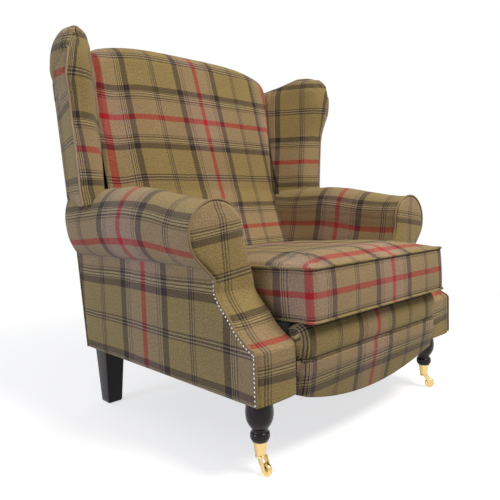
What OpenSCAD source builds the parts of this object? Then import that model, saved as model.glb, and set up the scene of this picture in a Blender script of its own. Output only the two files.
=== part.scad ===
// Fireside wing chair with scroll arms: a beech frame under a tartan wool cover, a loose boxed
// seat cushion, turned front legs on brass cup castors and square tapered rear legs.
// The front faces -Y, +Z is up, and the origin is on the floor under the middle of the chair.

/* [Base] */
// Width of the base across the outside arm panels
base_w = 792; // [780:1:804]
// Depth of the base along its underside
base_d = 712; // [700:1:724]
// Height of the base's underside above the floor
floor_gap = 166; // [160:1:172]
// Drop of the curved front apron below the underside, at its middle
apron_drop = 52; // [40:1:58]
// Height of the front border's piped seam above the underside
seam_rise = 70; // [65:1:74]
// How far the padded front border stands forward of the arm fronts
border_bulge = 22; // [14:1:26]
// Thickness of the outside panels with their cover
panel_t = 6; // [5:0.5:7]
// Thickness of the beech seat rails
rail_t = 28; // [24:1:32]
// Height of the beech seat rails
rail_h = 110; // [104:1:112]

/* [Arms] */
// Height of the scroll's top at the arm's front
arm_h = 576; // [568:1:584]
// Rise of the arm's top from the scroll back to the wing
arm_rise = 38; // [28:1:42]
// Radius of the front scroll
scroll_r = 73; // [70:1:76]
// Distance of the scroll's centre inside the outside arm panel
scroll_in = 9; // [6:1:12]
// Width of the arm front at the base
arm_w = 116; // [112:1:120]
// Distance of the upper arm front behind the base's front
arm_setback = 116; // [108:1:124]
// Height at which the arm front starts to slope back
knee_z = 272; // [268:1:278]
// Height at which the slope ends
waist_z = 382; // [374:1:388]
// Thickness of the padded arm fronts
facing_t = 24; // [20:1:26]
// Thickness of the padded inner arm wall
arm_wall = 60; // [54:1:62]
// Number of decorative nails on each arm front
nail_count = 34; // [24:1:40]
// Radius of a decorative nail's head
nail_r = 2.8; // [2.4:0.1:3.3]

/* [Seat] */
// Height of the cushion's underside at its front edge
seat_z = 315; // [310:1:320]
// Thickness of the cushion's boxing
cushion_t = 118; // [106:1:124]
// Height of the cushion's crown above its top piping
cushion_crown = 16; // [8:1:20]
// Overhang of the cushion in front of the arm fronts
cushion_over = 46; // [40:1:52]
// Corner radius of the cushion
cushion_r = 25; // [20:1:40]
// Widening of the cushion in front of the arms, on each side
cushion_flare = 10; // [0:1:12]
// Angle by which the seat falls towards the back
seat_pitch = 2.2; // [1.6:0.1:2.6]
// Gap between the cushion and the arms
cushion_gap = 3; // [2:0.5:4]

/* [Back] */
// Overall height at the middle of the crest
chair_h = 1054; // [1045:1:1066]
// Angle of the outside back from upright
back_rake = 8.5; // [7.5:0.25:9.5]
// Half width of the padded inside back
back_half = 345; // [340:1:346]
// Fall of the crest from its middle to the wings
crest_fall = 36; // [26:1:44]
// Thickness of the inside back and its frame at the seat
back_t = 96; // [92:1:100]
// Growth of that thickness from the seat to the crest
back_growth = 52; // [44:1:58]
// Forward swell of the inside back above the seat
lumbar = 92; // [70:1:100]
// Height at which that swell starts
lumbar_top = 612; // [590:1:630]
// Height below which that swell stays full
lumbar_foot = 415; // [400:1:430]
// Crown of the inside back between its sides
back_crown = 20; // [12:1:24]

/* [Wings] */
// Width across the wings' piped front edges
wing_w = 1018; // [1006:1:1026]
// Width across the wings where they meet the arms
wing_foot_w = 958; // [948:1:968]
// Distance of the wings' front edge in front of the base's rear edge
wing_depth = 165; // [156:1:172]
// How far the wings' front edge curves forward near the top
wing_reach = 31; // [20:1:38]
// Height of the wings' highest point
wing_top = 1027; // [1018:1:1034]
// Thickness of the wings' rounded front edge
wing_t = 74; // [66:1:80]
// Outward roll of the wings near the top
wing_roll = 30; // [10:1:32]

/* [Legs] */
// Distance of the front leg axes inside the outside arm panels
leg_in_x = 53; // [50:1:56]
// Distance of the front leg axes behind the base's front
leg_in_y = 53; // [50:1:56]
// Greatest radius of the front legs' turned bulb
bulb_r = 30; // [27:0.5:32]
// Width of the rear legs at the top
rear_leg_w = 60; // [56:1:62]
// Width of the rear legs at the foot
rear_foot_w = 42; // [38:1:46]
// Distance of the rear leg axes inside the outside arm panels
rear_in_x = 49; // [46:1:52]
// Distance of the rear leg axes in front of the base's rear edge
rear_in_y = 43; // [40:1:46]

/* [Castors] */
// Height of the castor cup's underside above the floor
cup_z = 41; // [39:0.5:43]
// Height of the castor cup
cup_h = 30; // [26:0.5:32]
// Radius of the cup at its mouth
cup_r = 15.5; // [14.5:0.25:16.5]
// Radius of the castor wheel
wheel_r = 14; // [12.5:0.25:14.5]
// Width of the castor wheel
wheel_w = 13; // [10:0.5:15]
// Distance of the wheel's axis behind the swivel
trail = 17; // [16:0.5:19]
// Direction in which the left castor trails
trail_left = 270; // [0:5:355]
// Direction in which the right castor trails
trail_right = 315; // [0:5:355]

/* [Hidden] */
// Distance kept between neighbouring pieces that only touch
fit = 0.3;
// Overrun of every cut
over = 1;
// Radial play of a running fit
play = 0.05;
// Number of facets on round solids
$fn = 36;

// Overall values worked out from the sizes above
base_half = base_w / 2;
rake_tan = tan(back_rake);
rear_reach = base_d + (chair_h - wing_t / 2 - floor_gap) * rake_tan;
front_y = -(rear_reach - cushion_over) / 2;
inner_x = base_half - arm_w;
frame_x = base_half - panel_t - fit;
crest_side_z = chair_h - crest_fall;

// Beech members of the arms and back
post_w = frame_x - back_half - fit;
post_t = 50;
post_block_w = 72;
arm_rail_t = 25;
stay_rail_h = 50;
crest_rail_h = 80;
crest_rail_t = 30;
// Play over the crest rail, which is cut in short straight lengths
crest_play = 4;
back_frame_t = 58;
block_leg = 60;
webbing_w = 60;
webbing_t = 2;
board_t = 15;

// Scroll outline
scroll_x = base_half - scroll_in;
scroll_z = arm_h - scroll_r;
roll_foot_z = arm_h - 2 * scroll_r;
roof_z = roll_foot_z + arm_rail_t - 3 * fit;
scroll_start = 180;
scroll_end = -70;
scroll_steps = 10;

// Piping
cord_r = 3;
cord_sides = 6;

// Turned leg profile, as shares of the bulb radius and of the leg's wooden height
leg_profile_shares = [
    [0.86, 1.00], [0.93, 0.85], [1.00, 0.63], [0.97, 0.52], [0.86, 0.41], [0.70, 0.31],
    [0.60, 0.27], [0.58, 0.24], [0.66, 0.21], [0.71, 0.15], [0.70, 0.10], [0.63, 0.04], [0.56, 0.00]];

left = -1;
right = 1;

beech = "#d9b483";
wool = "#9c8a5c";
wool_dark = "#6f6047";
mahogany = "#2e2021";
brass = "#c9a256";
steel = "#b9b9bd";
black_cloth = "#2a2a2c";
jute = "#b59a6a";

// Small functions

function clamp01(t) = min(1, max(0, t));
function smooth(t) = let (u = clamp01(t)) u * u * (3 - 2 * u);
function unit(v) = v / norm(v);

// Signed volume of a closed triangle mesh
function mesh_volume(pts, faces) =
    [for (f = faces) cross(pts[f[0]], pts[f[1]]) * pts[f[2]]] * [for (f = faces) 1] / 6;

// Closed mesh whose faces are turned outwards whichever way round they were listed
module closed_mesh(pts, faces) {
    outward = mesh_volume(pts, faces) < 0;
    polyhedron(pts, outward ? faces : [for (f = faces) [f[0], f[2], f[1]]]);
}

function side_faces(rings, n, closed = false) = [
    for (i = [0 : rings - (closed ? 1 : 2)], k = [0 : n - 1])
        let (a = i * n, b = (i + 1) % rings * n, j = (k + 1) % n)
            each [[a + k, b + k, b + j], [a + k, b + j, a + j]]];

// End cap that zips the first half of a ring to the second half
function cap_faces(start, n, flip) = [
    for (i = [0 : n / 2 - 2])
        let (a = start + i, b = start + i + 1, c = start + n - 1 - i, d = start + n - 2 - i)
            each flip ? [[a, c, b], [b, c, d]] : [[a, b, c], [b, d, c]]];

// Solid through a list of rings with the same even number of points
module loft(rings) {
    n = len(rings[0]);
    count = len(rings);
    pts = [for (r = rings) each r];
    faces = concat(side_faces(count, n), cap_faces(0, n, false), cap_faces((count - 1) * n, n, true));
    closed_mesh(pts, faces);
}

// Round cord along a path; ref is any direction that the path never follows
module cord(path, r, ref, closed = false) {
    n = len(path);
    rings = [for (i = [0 : n - 1])
        let (a = path[closed ? (i + n - 1) % n : max(i - 1, 0)],
             b = path[closed ? (i + 1) % n : min(i + 1, n - 1)],
             t = unit(b - a), u = unit(cross(t, ref)), w = cross(t, u))
            [for (k = [0 : cord_sides - 1])
                path[i] + r * cos(360 * k / cord_sides) * u + r * sin(360 * k / cord_sides) * w]];
    if (closed)
        closed_mesh([for (q = rings) each q], side_faces(n, cord_sides, true));
    else
        loft(rings);
}

module on_side(side) {
    if (side == left) mirror([1, 0, 0]) children();
    else children();
}

// Outline in the YZ plane, extruded along X from x0 to x1
module yz_slab(x0, x1) {
    translate([x0, 0, 0]) rotate([90, 0, 90]) linear_extrude(x1 - x0) children();
}

// Outline in the XZ plane, extruded along Y from y0 to y1
module xz_slab(y0, y1) {
    translate([0, y1, 0]) rotate([90, 0, 0]) linear_extrude(y1 - y0) children();
}

module block(x0, x1, y0, y1, z0, z1) {
    translate([x0, y0, z0]) cube([x1 - x0, y1 - y0, z1 - z0]);
}

// Surfaces of the chair

// Outer surface of the back, which leans by back_rake
function rear_y(z) = front_y + base_d + (z - floor_gap) * rake_tan;

// Inner side of the outside back panel
function back_inside_y(z) = rear_y(z) - (panel_t + fit) / cos(back_rake);

// Front surface of the inside back at its sides
function back_front_y(z) =
    rear_y(z) - back_t - back_growth * (z - seat_z) / (chair_h - seat_z);

// How far the inside back swells forward above the seat
function swell(z) = lumbar * pow(clamp01((lumbar_top - z) / (lumbar_top - lumbar_foot)), 1.15);

// Front surface of the inside back anywhere across it
function back_face_y(x, z) =
    back_front_y(z) - swell(z) - back_crown * (1 - pow(min(abs(x) / back_half, 1), 2));

// Crest height across the back
function crest_z(x) =
    let (t = min(abs(x) / back_half, 1), corner = clamp01((t - 0.9) / 0.1))
        chair_h - crest_fall * (pow(t, 4) + corner * corner / 3);

// Front profile of the arm: upright, curving back from the knee to the waist, upright again
ramp_shares = [[0, 0], [0.04, 0.03], [0.12, 0.18], [0.27, 0.39], [0.55, 0.635], [0.92, 0.96], [1, 1]];
function arm_front_y(z) = front_y + arm_setback * lookup((z - knee_z) / (waist_z - knee_z), ramp_shares);

// Points along that profile from height z0 to z1, moved back by off
function front_profile(off, z0, z1) = [
    for (z = concat([z0], [for (p = ramp_shares) knee_z + p[0] * (waist_z - knee_z)], [z1]))
        if (z >= z0 && z <= z1) [arm_front_y(z) + off, z]];
function reversed(list) = [for (i = [len(list) - 1 : -1 : 0]) list[i]];

// Frame that leans with the back: local Z runs up the outer surface, local Y points out of it
module leaning() {
    translate([0, front_y + base_d, floor_gap]) rotate([-back_rake, 0, 0]) children();
}
function up_slope(z) = (z - floor_gap) / cos(back_rake);

// Seat frame

rail_top = floor_gap + rail_h;
post_front_y = front_y + facing_t + fit;
rear_rail_y1 = front_y + base_d - rear_in_y + post_t / 2 - fit;
rear_rail_y0 = rear_rail_y1 - rail_t - rail_t / 2;

rail_front_y = arm_front_y(rail_top) + facing_t + fit;

module front_rail() {
    color(beech)
        block(-frame_x + post_block_w + fit, frame_x - post_block_w - fit,
            rail_front_y, rail_front_y + rail_t, floor_gap, rail_top);
}

module rear_rail() {
    color(beech) difference() {
        block(-back_half, back_half, rear_rail_y0, rear_rail_y1, floor_gap, rail_top);
        leg_bolts_shape(bolt_r + play);
    }
}

module side_rail(side) {
    y0 = rail_front_y + post_t + fit;
    y1 = rear_y(floor_gap) - back_frame_t / cos(back_rake);
    slope = (rail_top - floor_gap) * rake_tan;
    color(beech) on_side(side)
        yz_slab(frame_x - rail_t, frame_x)
            polygon([[y0, floor_gap], [y1, floor_gap], [y1 + slope, rail_top], [y0, rail_top]]);
}

// The four leg bolts: the front ones on the leg axes, the rear ones inside them, in the rail
module leg_bolts_shape(r) {
    for (side = [left, right]) {
        translate([side * (base_half - leg_in_x), front_y + leg_in_y, floor_gap - bolt_length / 2])
            cylinder(h = bolt_length, r = r, $fn = 24);
        translate([side * (base_half - rear_in_x - rear_bolt_in), front_y + base_d - rear_in_y,
            floor_gap - bolt_length / 2])
            cylinder(h = bolt_length, r = r, $fn = 24);
    }
}

module front_post(side) {
    block_top = knee_z - facing_t;
    z1 = roof_z - arm_rail_t - fit;
    color(beech) difference() {
        on_side(side) union() {
            block(frame_x - post_block_w, frame_x, post_front_y, post_front_y + post_t,
                floor_gap, block_top);
            yz_slab(frame_x - post_w, frame_x)
                polygon(concat(front_profile(facing_t + fit, block_top, z1),
                    reversed(front_profile(facing_t + fit + post_t, block_top, z1))));
        }
        leg_bolts_shape(bolt_r + play);
    }
}

module corner_blocks() {
    color(beech)
        for (side = [left, right]) on_side(side) {
            translate([frame_x - post_block_w - fit, rail_front_y + rail_t + fit, floor_gap])
                linear_extrude(block_leg)
                    polygon([[0, 0], [-block_leg, 0], [0, block_leg]]);
            translate([frame_x - rail_t - fit, rear_rail_y0 - fit, floor_gap])
                linear_extrude(block_leg)
                    polygon([[0, 0], [-block_leg, 0], [0, -block_leg]]);
        }
}

// Jute straps across the seat frame, five one way and four the other
module seat_webbing() {
    lengthways = 5;
    across = 4;
    y0 = rail_front_y + rail_t / 2;
    y1 = rear_rail_y1;
    x_span = 2 * (frame_x - post_block_w) - webbing_w;
    y_first = rail_front_y + post_t + webbing_w;
    y_span = rear_rail_y0 - webbing_w - y_first - webbing_w;
    color(jute) {
        for (i = [0 : lengthways - 1])
            translate([-x_span / 2 + x_span * i / (lengthways - 1) - webbing_w / 2, y0, rail_top])
                cube([webbing_w, y1 - y0, webbing_t]);
        for (i = [0 : across - 1])
            translate([-frame_x, y_first + y_span * i / (across - 1), rail_top + webbing_t])
                cube([2 * frame_x, webbing_w, webbing_t]);
    }
}

// Padded platform under the cushion, wedge shaped so that the seat falls to the back
deck_z0 = rail_top + 2 * webbing_t + fit;
cushion_y0 = front_y - cushion_over;
function deck_z(y) = seat_z - (y - cushion_y0) * tan(seat_pitch) - fit;
deck_y1 = back_face_y(0, deck_z0) - fit;

module seat_deck() {
    y0 = rail_front_y;
    color(black_cloth)
        yz_slab(-inner_x + fit, inner_x - fit)
            polygon([[y0, deck_z0], [deck_y1, deck_z0], [deck_y1, deck_z(deck_y1)], [y0, deck_z(y0)]]);
}

// Black cloth stapled under the rails, cut out round the legs
module dust_cover() {
    t = webbing_t / 2;
    y0 = post_front_y;
    y1 = rear_rail_y1;
    color(black_cloth)
        translate([0, 0, floor_gap - t - fit]) linear_extrude(t)
            difference() {
                translate([-frame_x, y0]) square([2 * frame_x, y1 - y0]);
                for (side = [left, right]) {
                    translate([side * (base_half - leg_in_x), front_y + leg_in_y])
                        circle(bulb_r + over);
                    translate([side * (base_half - rear_in_x), front_y + base_d - rear_in_y])
                        square(rear_leg_w + 2 * over, center = true);
                }
            }
}

// Back frame

module back_post_shape(grow) {
    foot = 2 * fit;
    head = up_slope(crest_side_z) - crest_rail_h;
    leaning()
        block(frame_x - post_w - grow, frame_x + min(grow, fit), -panel_t - fit - post_t - grow,
            -panel_t - fit + grow, foot, head + grow);
}

module back_post(side) {
    color(beech) on_side(side) back_post_shape(0);
}

module crest_rail() {
    steps = 12;
    half = back_half;
    foot = up_slope(crest_side_z) - crest_rail_h - crest_rail_h / 2;
    y0 = -panel_t - 2 * fit - crest_rail_t;
    top = [for (i = [0 : steps])
        let (x = half - 2 * half * i / steps) [x, up_slope(crest_z(x)) - crest_rail_h]];
    color(beech) leaning()
        xz_slab(y0, y0 + crest_rail_t)
            polygon(concat([[-half, foot], [half, foot]], top));
}

module stay_rail() {
    half = back_half;
    z0 = up_slope(rail_top + stay_rail_h);
    color(beech) leaning()
        block(-half, half, -panel_t - fit - post_t, -panel_t - fit - post_t + rail_t,
            z0, z0 + stay_rail_h);
}

// Straps across the back: four level ones between the posts, four upright ones behind them
module back_webbing() {
    level = 4;
    upright = 4;
    half = back_half;
    z0 = up_slope(rail_top + stay_rail_h) + stay_rail_h;
    z1 = up_slope(crest_side_z) - crest_rail_h - crest_rail_h / 2;
    y0 = -panel_t - fit - post_t + rail_t / 2;
    color(jute) leaning() {
        for (i = [1 : level])
            translate([-half, y0, z0 + (z1 - z0) * i / (level + 1) - webbing_w / 2])
                cube([2 * half, webbing_t, webbing_w]);
        for (i = [1 : upright])
            translate([-half + 2 * half * i / (upright + 1) - webbing_w / 2, y0 + webbing_t, z0])
                cube([webbing_w, webbing_t, z1 - z0]);
    }
}

// Height of the outside back's top edge across the chair: under the crest, then round the wings
function panel_top(x) =
    abs(x) <= back_half ? crest_z(x) - wing_t / 2
        : let (top = wing_crest(1), drop = wing_outer_drop(1), x1 = wing_outer_x(1, top - drop),
               xp = wing_peak_x(1), t = clamp01((abs(x) - xp) / (x1 - xp)))
            top - drop * (1 - sqrt(1 - t * t)) - fit;
panel_steps_shares = [1, 0.985, 0.96, 0.93, 0.89, 0.835, 0.8, 0.7, 0.55, 0.35, 0.15];

module outside_back() {
    half = wing_rear_x(wing_foot_z);
    shoulder = wing_rear_x(wing_crest(1) - wing_outer_drop(1));
    across = concat(panel_steps_shares, -reversed(panel_steps_shares));
    top = [for (s = across) [s * shoulder, up_slope(panel_top(s * shoulder))]];
    color(wool) leaning()
        xz_slab(-panel_t, 0)
            polygon(concat(
                [[-base_half, 0], [base_half, 0], [base_half, up_slope(roll_foot_z)],
                    [half, up_slope(wing_foot_z)]],
                top,
                [[-half, up_slope(wing_foot_z)], [-base_half, up_slope(roll_foot_z)]]));
}

// Padded inside back: crowned in front, rolled over the crest, open behind for the frame

back_stations_shares = [0, 0.2, 0.4, 0.58, 0.74, 0.86, 0.94, 0.975, 1];
back_rows = 11;
roll_steps = 8;
roll_peak_share = 0.42;

function back_roll_z(x) = crest_z(x) - wing_t * 0.75;
function back_row_z(x, i) = deck_z0 + (back_roll_z(x) - deck_z0) * i / back_rows;

function back_section(x) =
    let (top = crest_z(x), roll_z = back_roll_z(x), rear_z = panel_top(x) - fit,
         foot_z = deck_z0, y_front = back_face_y(x, roll_z), y_rear = back_inside_y(rear_z),
         y_peak = y_front + (y_rear - y_front) * roll_peak_share,
         hook_z = top - crest_rail_h * cos(back_rake)
            + (crest_rail_t + panel_t) * sin(back_rake) + crest_play)
    concat(
        [for (i = [0 : back_rows - 1])
            let (z = back_row_z(x, i)) [x, back_face_y(x, z), z]],
        [for (i = [0 : roll_steps])
            let (a = 180 - 180 * i / roll_steps, reach = a > 90 ? y_peak - y_front : y_rear - y_peak,
                 base = a > 90 ? roll_z : rear_z)
                [x, y_peak + reach * cos(a), base + (top - base) * sin(a)]],
        [[x, back_inside_y(hook_z), hook_z]],
        [for (i = [0 : back_rows - 1])
            let (z = hook_z + (foot_z - hook_z) * i / (back_rows - 1))
                [x, rear_y(z) - (back_frame_t + fit) / cos(back_rake), z]]);

module inside_back() {
    half = back_stations_shares;
    across = concat(-reversed(half), [for (i = [1 : len(half) - 1]) half[i]]);
    color(wool) loft([for (s = across) back_section(s * back_half)]);
}

// Room that the inside back and its frame take out of the arms' inner walls
function back_room_ring(x) = concat(
    [for (i = [0 : back_rows])
        let (z = back_row_z(x, i)) [x, back_face_y(x, z) - 2 * fit, i == 0 ? z - over : z]],
    [for (i = [back_rows : -1 : 0])
        let (z = back_row_z(x, i)) [x, rear_y(z) + over, i == 0 ? z - over : z]]);

module back_room() {
    across = [for (s = back_stations_shares) if (s > 0.7 && s < 1) s * back_half];
    loft([for (x = concat(across, [back_half + fit])) back_room_ring(x)]);
}

// Arms

// How far the arm front's inner edge has leaned outwards at the waist
waist_in = 3;
outer_waist_z = roll_foot_z - facing_t * 0.8;

module facing_outline() {
    polygon([
        [inner_x, floor_gap], [base_half, floor_gap], [base_half, outer_waist_z],
        [scroll_x + scroll_r * cos(-50), scroll_z + scroll_r * sin(-50)],
        [scroll_x, scroll_z], [scroll_x - scroll_r, scroll_z],
        [inner_x + waist_in, waist_z], [inner_x, knee_z]]);
    translate([scroll_x, scroll_z]) circle(scroll_r, $fn = 64);
}

module arm_facing(side) {
    top = arm_h + over;
    color(wool) on_side(side) intersection() {
        yz_slab(inner_x - over, scroll_x + scroll_r + over)
            polygon(concat(front_profile(0, floor_gap, top),
                reversed(front_profile(facing_t, floor_gap, top))));
        xz_slab(front_y - over, front_y + arm_setback + facing_t + over) facing_outline();
    }
}

// How much the arm has risen at a share of the way from its front to its rear
function arm_lift(s) = 1 + arm_rise / (2 * scroll_r) * smooth(s * 2.1);

// How far the roll still overhangs the side at a share of the way to its rear
roll_turn_share = 0.76;
function roll_overhang(s) =
    let (t = clamp01((s - roll_turn_share) / (1 - roll_turn_share))) sqrt(1 - t * t * 0.98);

function arm_point(s, x, z) =
    let (zz = z > roll_foot_z ? roll_foot_z + (z - roll_foot_z) * arm_lift(s) : z,
         xx = x > base_half ? base_half + (x - base_half) * roll_overhang(s) : x,
         y0 = arm_front_y(zz) + facing_t + fit,
         y1 = back_inside_y(zz) - fit)
    [xx, y0 + (y1 - y0) * s, zz];

// Heights of the points up the arm's inner wall
wall_zs = concat([deck_z0], [for (p = ramp_shares)
    let (z = knee_z + p[0] * (waist_z - knee_z)) if (z > deck_z0 + over) z]);

function arm_ring(s) =
    let (wall_x = inner_x + arm_wall, roof = roof_z, cavity_x = frame_x + fit)
    concat(
        [for (z = wall_zs) arm_point(s, inner_x, z)],
        [arm_point(s, inner_x + (scroll_x - scroll_r - inner_x) * 0.6, roof)],
        [for (i = [0 : scroll_steps])
            let (a = scroll_start + (scroll_end - scroll_start) * i / scroll_steps)
                arm_point(s, scroll_x + scroll_r * cos(a), scroll_z + scroll_r * sin(a))],
        [arm_point(s, cavity_x, roof), arm_point(s, wall_x, roof)],
        [for (z = reversed(wall_zs)) arm_point(s, wall_x, z)]);

arm_stations_shares = [0, 0.08, 0.16, 0.25, 0.36, 0.48, 0.62, 0.76, 0.83, 0.89, 0.94, 0.98, 1];

module arm_loft() {
    loft([for (s = arm_stations_shares) arm_ring(s)]);
}

module arm_pad(side) {
    color(wool) on_side(side) difference() {
        arm_loft();
        back_room();
        back_post_shape(fit);
    }
}

module arm_rail(side) {
    y0 = arm_front_y(waist_z) + facing_t + 2 * fit;
    z0 = roof_z - arm_rail_t - fit;
    z1 = roof_z - fit;
    y1 = rear_y(z0) - (back_frame_t + fit) / cos(back_rake);
    color(beech) on_side(side) block(frame_x - post_w + fit, frame_x, y0, y1, z0, z1);
}

module outside_arm(side) {
    z1 = roll_foot_z + arm_rail_t / 2;
    color(wool) on_side(side)
        yz_slab(base_half - panel_t, base_half)
            polygon(concat([[back_inside_y(z1), z1], [back_inside_y(floor_gap), floor_gap]],
                front_profile(facing_t + fit, floor_gap, z1)));
}

// Points along the arm front's profile from z0 to z1, moved in from it by d, square to it
function edge_path(d, z0, z1) =
    let (pts = front_profile(0, z0, z1), last = len(pts) - 1)
    [for (i = [0 : last])
        let (t = unit(pts[min(i + 1, last)] - pts[max(i - 1, 0)])) pts[i] + d * [t[1], -t[0]]];

// Piping up the arm front's outer edge and round the scroll to its inner side
module facing_piping(side) {
    off = cord_r + fit;
    r = scroll_r + off;
    y = front_y + arm_setback + cord_r;
    steps = 22;
    first = -50;
    last = 158;
    path = concat(
        [for (p = edge_path(cord_r, floor_gap + fit, waist_z - cord_r)) [base_half + off, p[0], p[1]]],
        [[base_half + 1.5 * off, y, outer_waist_z]],
        [for (i = [0 : steps])
            let (a = first + (last - first) * i / steps)
                [scroll_x + r * cos(a), y, scroll_z + r * sin(a)]]);
    color(wool_dark) on_side(side) cord(path, cord_r, [0, 1, 0]);
}

// Point at distance d along a path
function walk(path, d, i = 0) =
    let (step = norm(path[i + 1] - path[i]))
        d <= step || i == len(path) - 2 ? path[i] + (path[i + 1] - path[i]) * d / step
            : walk(path, d - step, i + 1);
function path_length(path, i = 0) =
    i >= len(path) - 1 ? 0 : norm(path[i + 1] - path[i]) + path_length(path, i + 1);

// Domed nail heads down the outer edge of the arm front, at equal steps along its profile
module nailheads(side) {
    path = edge_path(2 * cord_r + nail_r + fit, floor_gap + 2 * nail_r, roll_foot_z - facing_t);
    total = path_length(path);
    color(steel) on_side(side)
        for (i = [0 : nail_count - 1])
            let (p = walk(path, total * i / (nail_count - 1)))
                translate([base_half, p[0], p[1]]) rotate([0, 90, 0])
                    rotate_extrude($fn = 13)
                        polygon([[0, 0], [nail_r, 0], [nail_r * 0.65, nail_r * 0.45], [0, nail_r * 0.62]]);
}

// Front border

border_y = front_y - border_bulge;
seam_z = floor_gap + seam_rise;
border_top = deck_z(front_y) - fit;
chamfer = cord_r * 1.7;

module border_roll() {
    y1 = post_front_y - fit;
    h = border_top - seam_z;
    color(wool)
        yz_slab(-inner_x + fit, inner_x - fit)
            polygon([
                [y1, seam_z + fit / 2], [border_y + chamfer, seam_z + fit / 2],
                [border_y, seam_z + chamfer], [border_y - cord_r, seam_z + h * 0.35],
                [border_y, seam_z + h * 0.7], [border_y + border_bulge * 0.4, seam_z + h * 0.9],
                [border_y + border_bulge, border_top], [y1, deck_z(y1) - fit]]);
}

// Lower edge of the apron: a shallow curve that dies away at the arm fronts
function apron_z(x) =
    floor_gap - apron_drop * (1 - pow(min(abs(x) / (inner_x + arm_w / 10), 1), 2));

module front_apron() {
    half = inner_x - fit;
    steps = 20;
    y1 = post_front_y - fit;
    color(wool) intersection() {
        yz_slab(-half, half)
            polygon([
                [y1, floor_gap - apron_drop - over], [y1, seam_z - fit / 2],
                [border_y + chamfer, seam_z - fit / 2], [border_y, seam_z - chamfer],
                [front_y - border_bulge * 0.6, floor_gap],
                [front_y, floor_gap - apron_drop - over]]);
        xz_slab(border_y - over, y1 + over)
            polygon(concat([[half, seam_z], [-half, seam_z]],
                [for (i = [0 : steps])
                    let (x = -half + 2 * half * i / steps) [x, apron_z(x)]]));
    }
}

module border_piping() {
    half = inner_x - cord_r;
    steps = 8;
    path = [for (i = [0 : steps]) [-half + 2 * half * i / steps, border_y, seam_z]];
    color(wool_dark) cord(path, cord_r, [0, 0, 1]);
}

// Wings

wing_foot_z = arm_h;
wing_rear_out = 10;
wing_rear_flare = 7;
wing_edge_r = 14;
wing_slope_z = arm_h + arm_rise;
wing_bow_z = wing_top - 1.5 * wing_t;
wing_reach_z = wing_top - 3.35 * wing_t;
wing_top_z = wing_top - wing_t;

function wing_front_y(z) =
    front_y + base_d - wing_depth - wing_reach * smooth((z - wing_reach_z) / (wing_top_z - wing_reach_z));
function wing_edge_x(z) =
    wing_foot_w / 2 + (wing_w - wing_foot_w) / 2
        * pow(clamp01((z - wing_slope_z) / (wing_top_z - wing_slope_z)), 1.3);
function wing_rear_x(z) =
    base_half + wing_rear_out
        + wing_rear_flare * clamp01((z - wing_foot_z) / (chair_h - wing_foot_z));

// Height of the wing's top edge at a share of the way from its front edge to its rear
wing_top_shares = [
    [0, 0.71], [0.025, 0.37], [0.085, 0.157], [0.15, 0.057], [0.25, 0.014],
    [0.335, 0.135], [0.425, 0.313], [0.5, 0.427], [0.75, 0.57], [1, 0.71]];
function wing_crest(s) = wing_top - wing_t * lookup(s, wing_top_shares);

// Half way from front to rear the wing meets the inside back
wing_join_share = 0.5;
function wing_y(s, z) =
    let (y0 = wing_front_y(z), y1 = back_front_y(z), y2 = back_inside_y(z) - fit)
        s <= wing_join_share ? y0 + (y1 - y0) * s / wing_join_share
            : y1 + (y2 - y1) * (s - wing_join_share) / (1 - wing_join_share);

// How far a corner of radius r has drawn in at depth d behind the wing's front
function corner_in(d, r) = d >= r ? 0 : r - sqrt(r * r - pow(r - d, 2));

// Outward roll of the wing near its top
function wing_swell(s, z) =
    wing_roll * exp(-pow((z - wing_bow_z) / (wing_t * 0.75), 2)) * exp(-pow((s - 0.27) / 0.25, 2));

function wing_outer_x(s, z) =
    let (y0 = wing_front_y(z), y2 = back_inside_y(z) - fit, y = wing_y(s, z))
        wing_edge_x(z) + (wing_rear_x(z) - wing_edge_x(z)) * (y - y0) / (y2 - y0)
            - corner_in(y - y0, wing_edge_r) + wing_swell(s, z);

function wing_inner_x(s, z) =
    let (side_x = back_half + fit, y0 = wing_front_y(z), t = clamp01(s / wing_join_share),
         thin = wing_t * (1 - 0.14 * smooth((z - wing_foot_z) / (wing_bow_z - wing_foot_z))),
         edge = wing_edge_x(z) - thin)
        s >= wing_join_share ? side_x
            : edge + (side_x - edge) * (0.8 + 0.2 * t) * t + corner_in(wing_y(s, z) - y0, wing_t / 2);

// Rounded top of the wing: it rises steeply inside, and falls in a wide roll outside
wing_inner_drop = wing_t * 0.8;
function wing_outer_drop(s) = wing_t * (1.45 - 0.7 * s);
cap_peak_share = 0.42;
cap_turn = 84;
function wing_peak_x(s) =
    let (x0 = wing_inner_x(s, wing_crest(s) - wing_inner_drop),
         x1 = wing_outer_x(s, wing_crest(s) - wing_outer_drop(s)))
            x0 + (x1 - x0) * cap_peak_share;

// Place across the wing at height z, where the side at x_side turns in from height z0
function cap_x(s, z, z0, x_side) =
    let (xp = wing_peak_x(s), t = clamp01((z - z0) / (wing_crest(s) - z0)) * sin(cap_turn))
        xp + (x_side - xp) * sqrt(1 - t * t);

function wing_heights(s) =
    let (rows = 8, arcs = 6, top = wing_crest(s), z0 = top - wing_outer_drop(s))
        concat([for (i = [0 : rows]) wing_foot_z + (z0 - wing_foot_z) * i / rows],
            [for (i = [1 : arcs]) z0 + (top - z0) * sin(cap_turn * i / arcs) / sin(cap_turn)]);

function wing_ring(s) =
    let (zi = wing_crest(s) - wing_inner_drop, zo = wing_crest(s) - wing_outer_drop(s),
         zs = wing_heights(s))
    concat(
        [for (z = zs) [cap_x(s, z, zi, wing_inner_x(s, min(z, zi))), wing_y(s, z), z]],
        [for (z = reversed(zs)) [cap_x(s, z, zo, wing_outer_x(s, min(z, zo))), wing_y(s, z), z]]);

wing_stations_shares = [0, 0.008, 0.025, 0.055, 0.1, 0.16, 0.24, 0.32, 0.41, 0.5, 0.66, 0.83, 1];

module wing_loft() {
    loft([for (s = wing_stations_shares) wing_ring(s)]);
}

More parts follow.
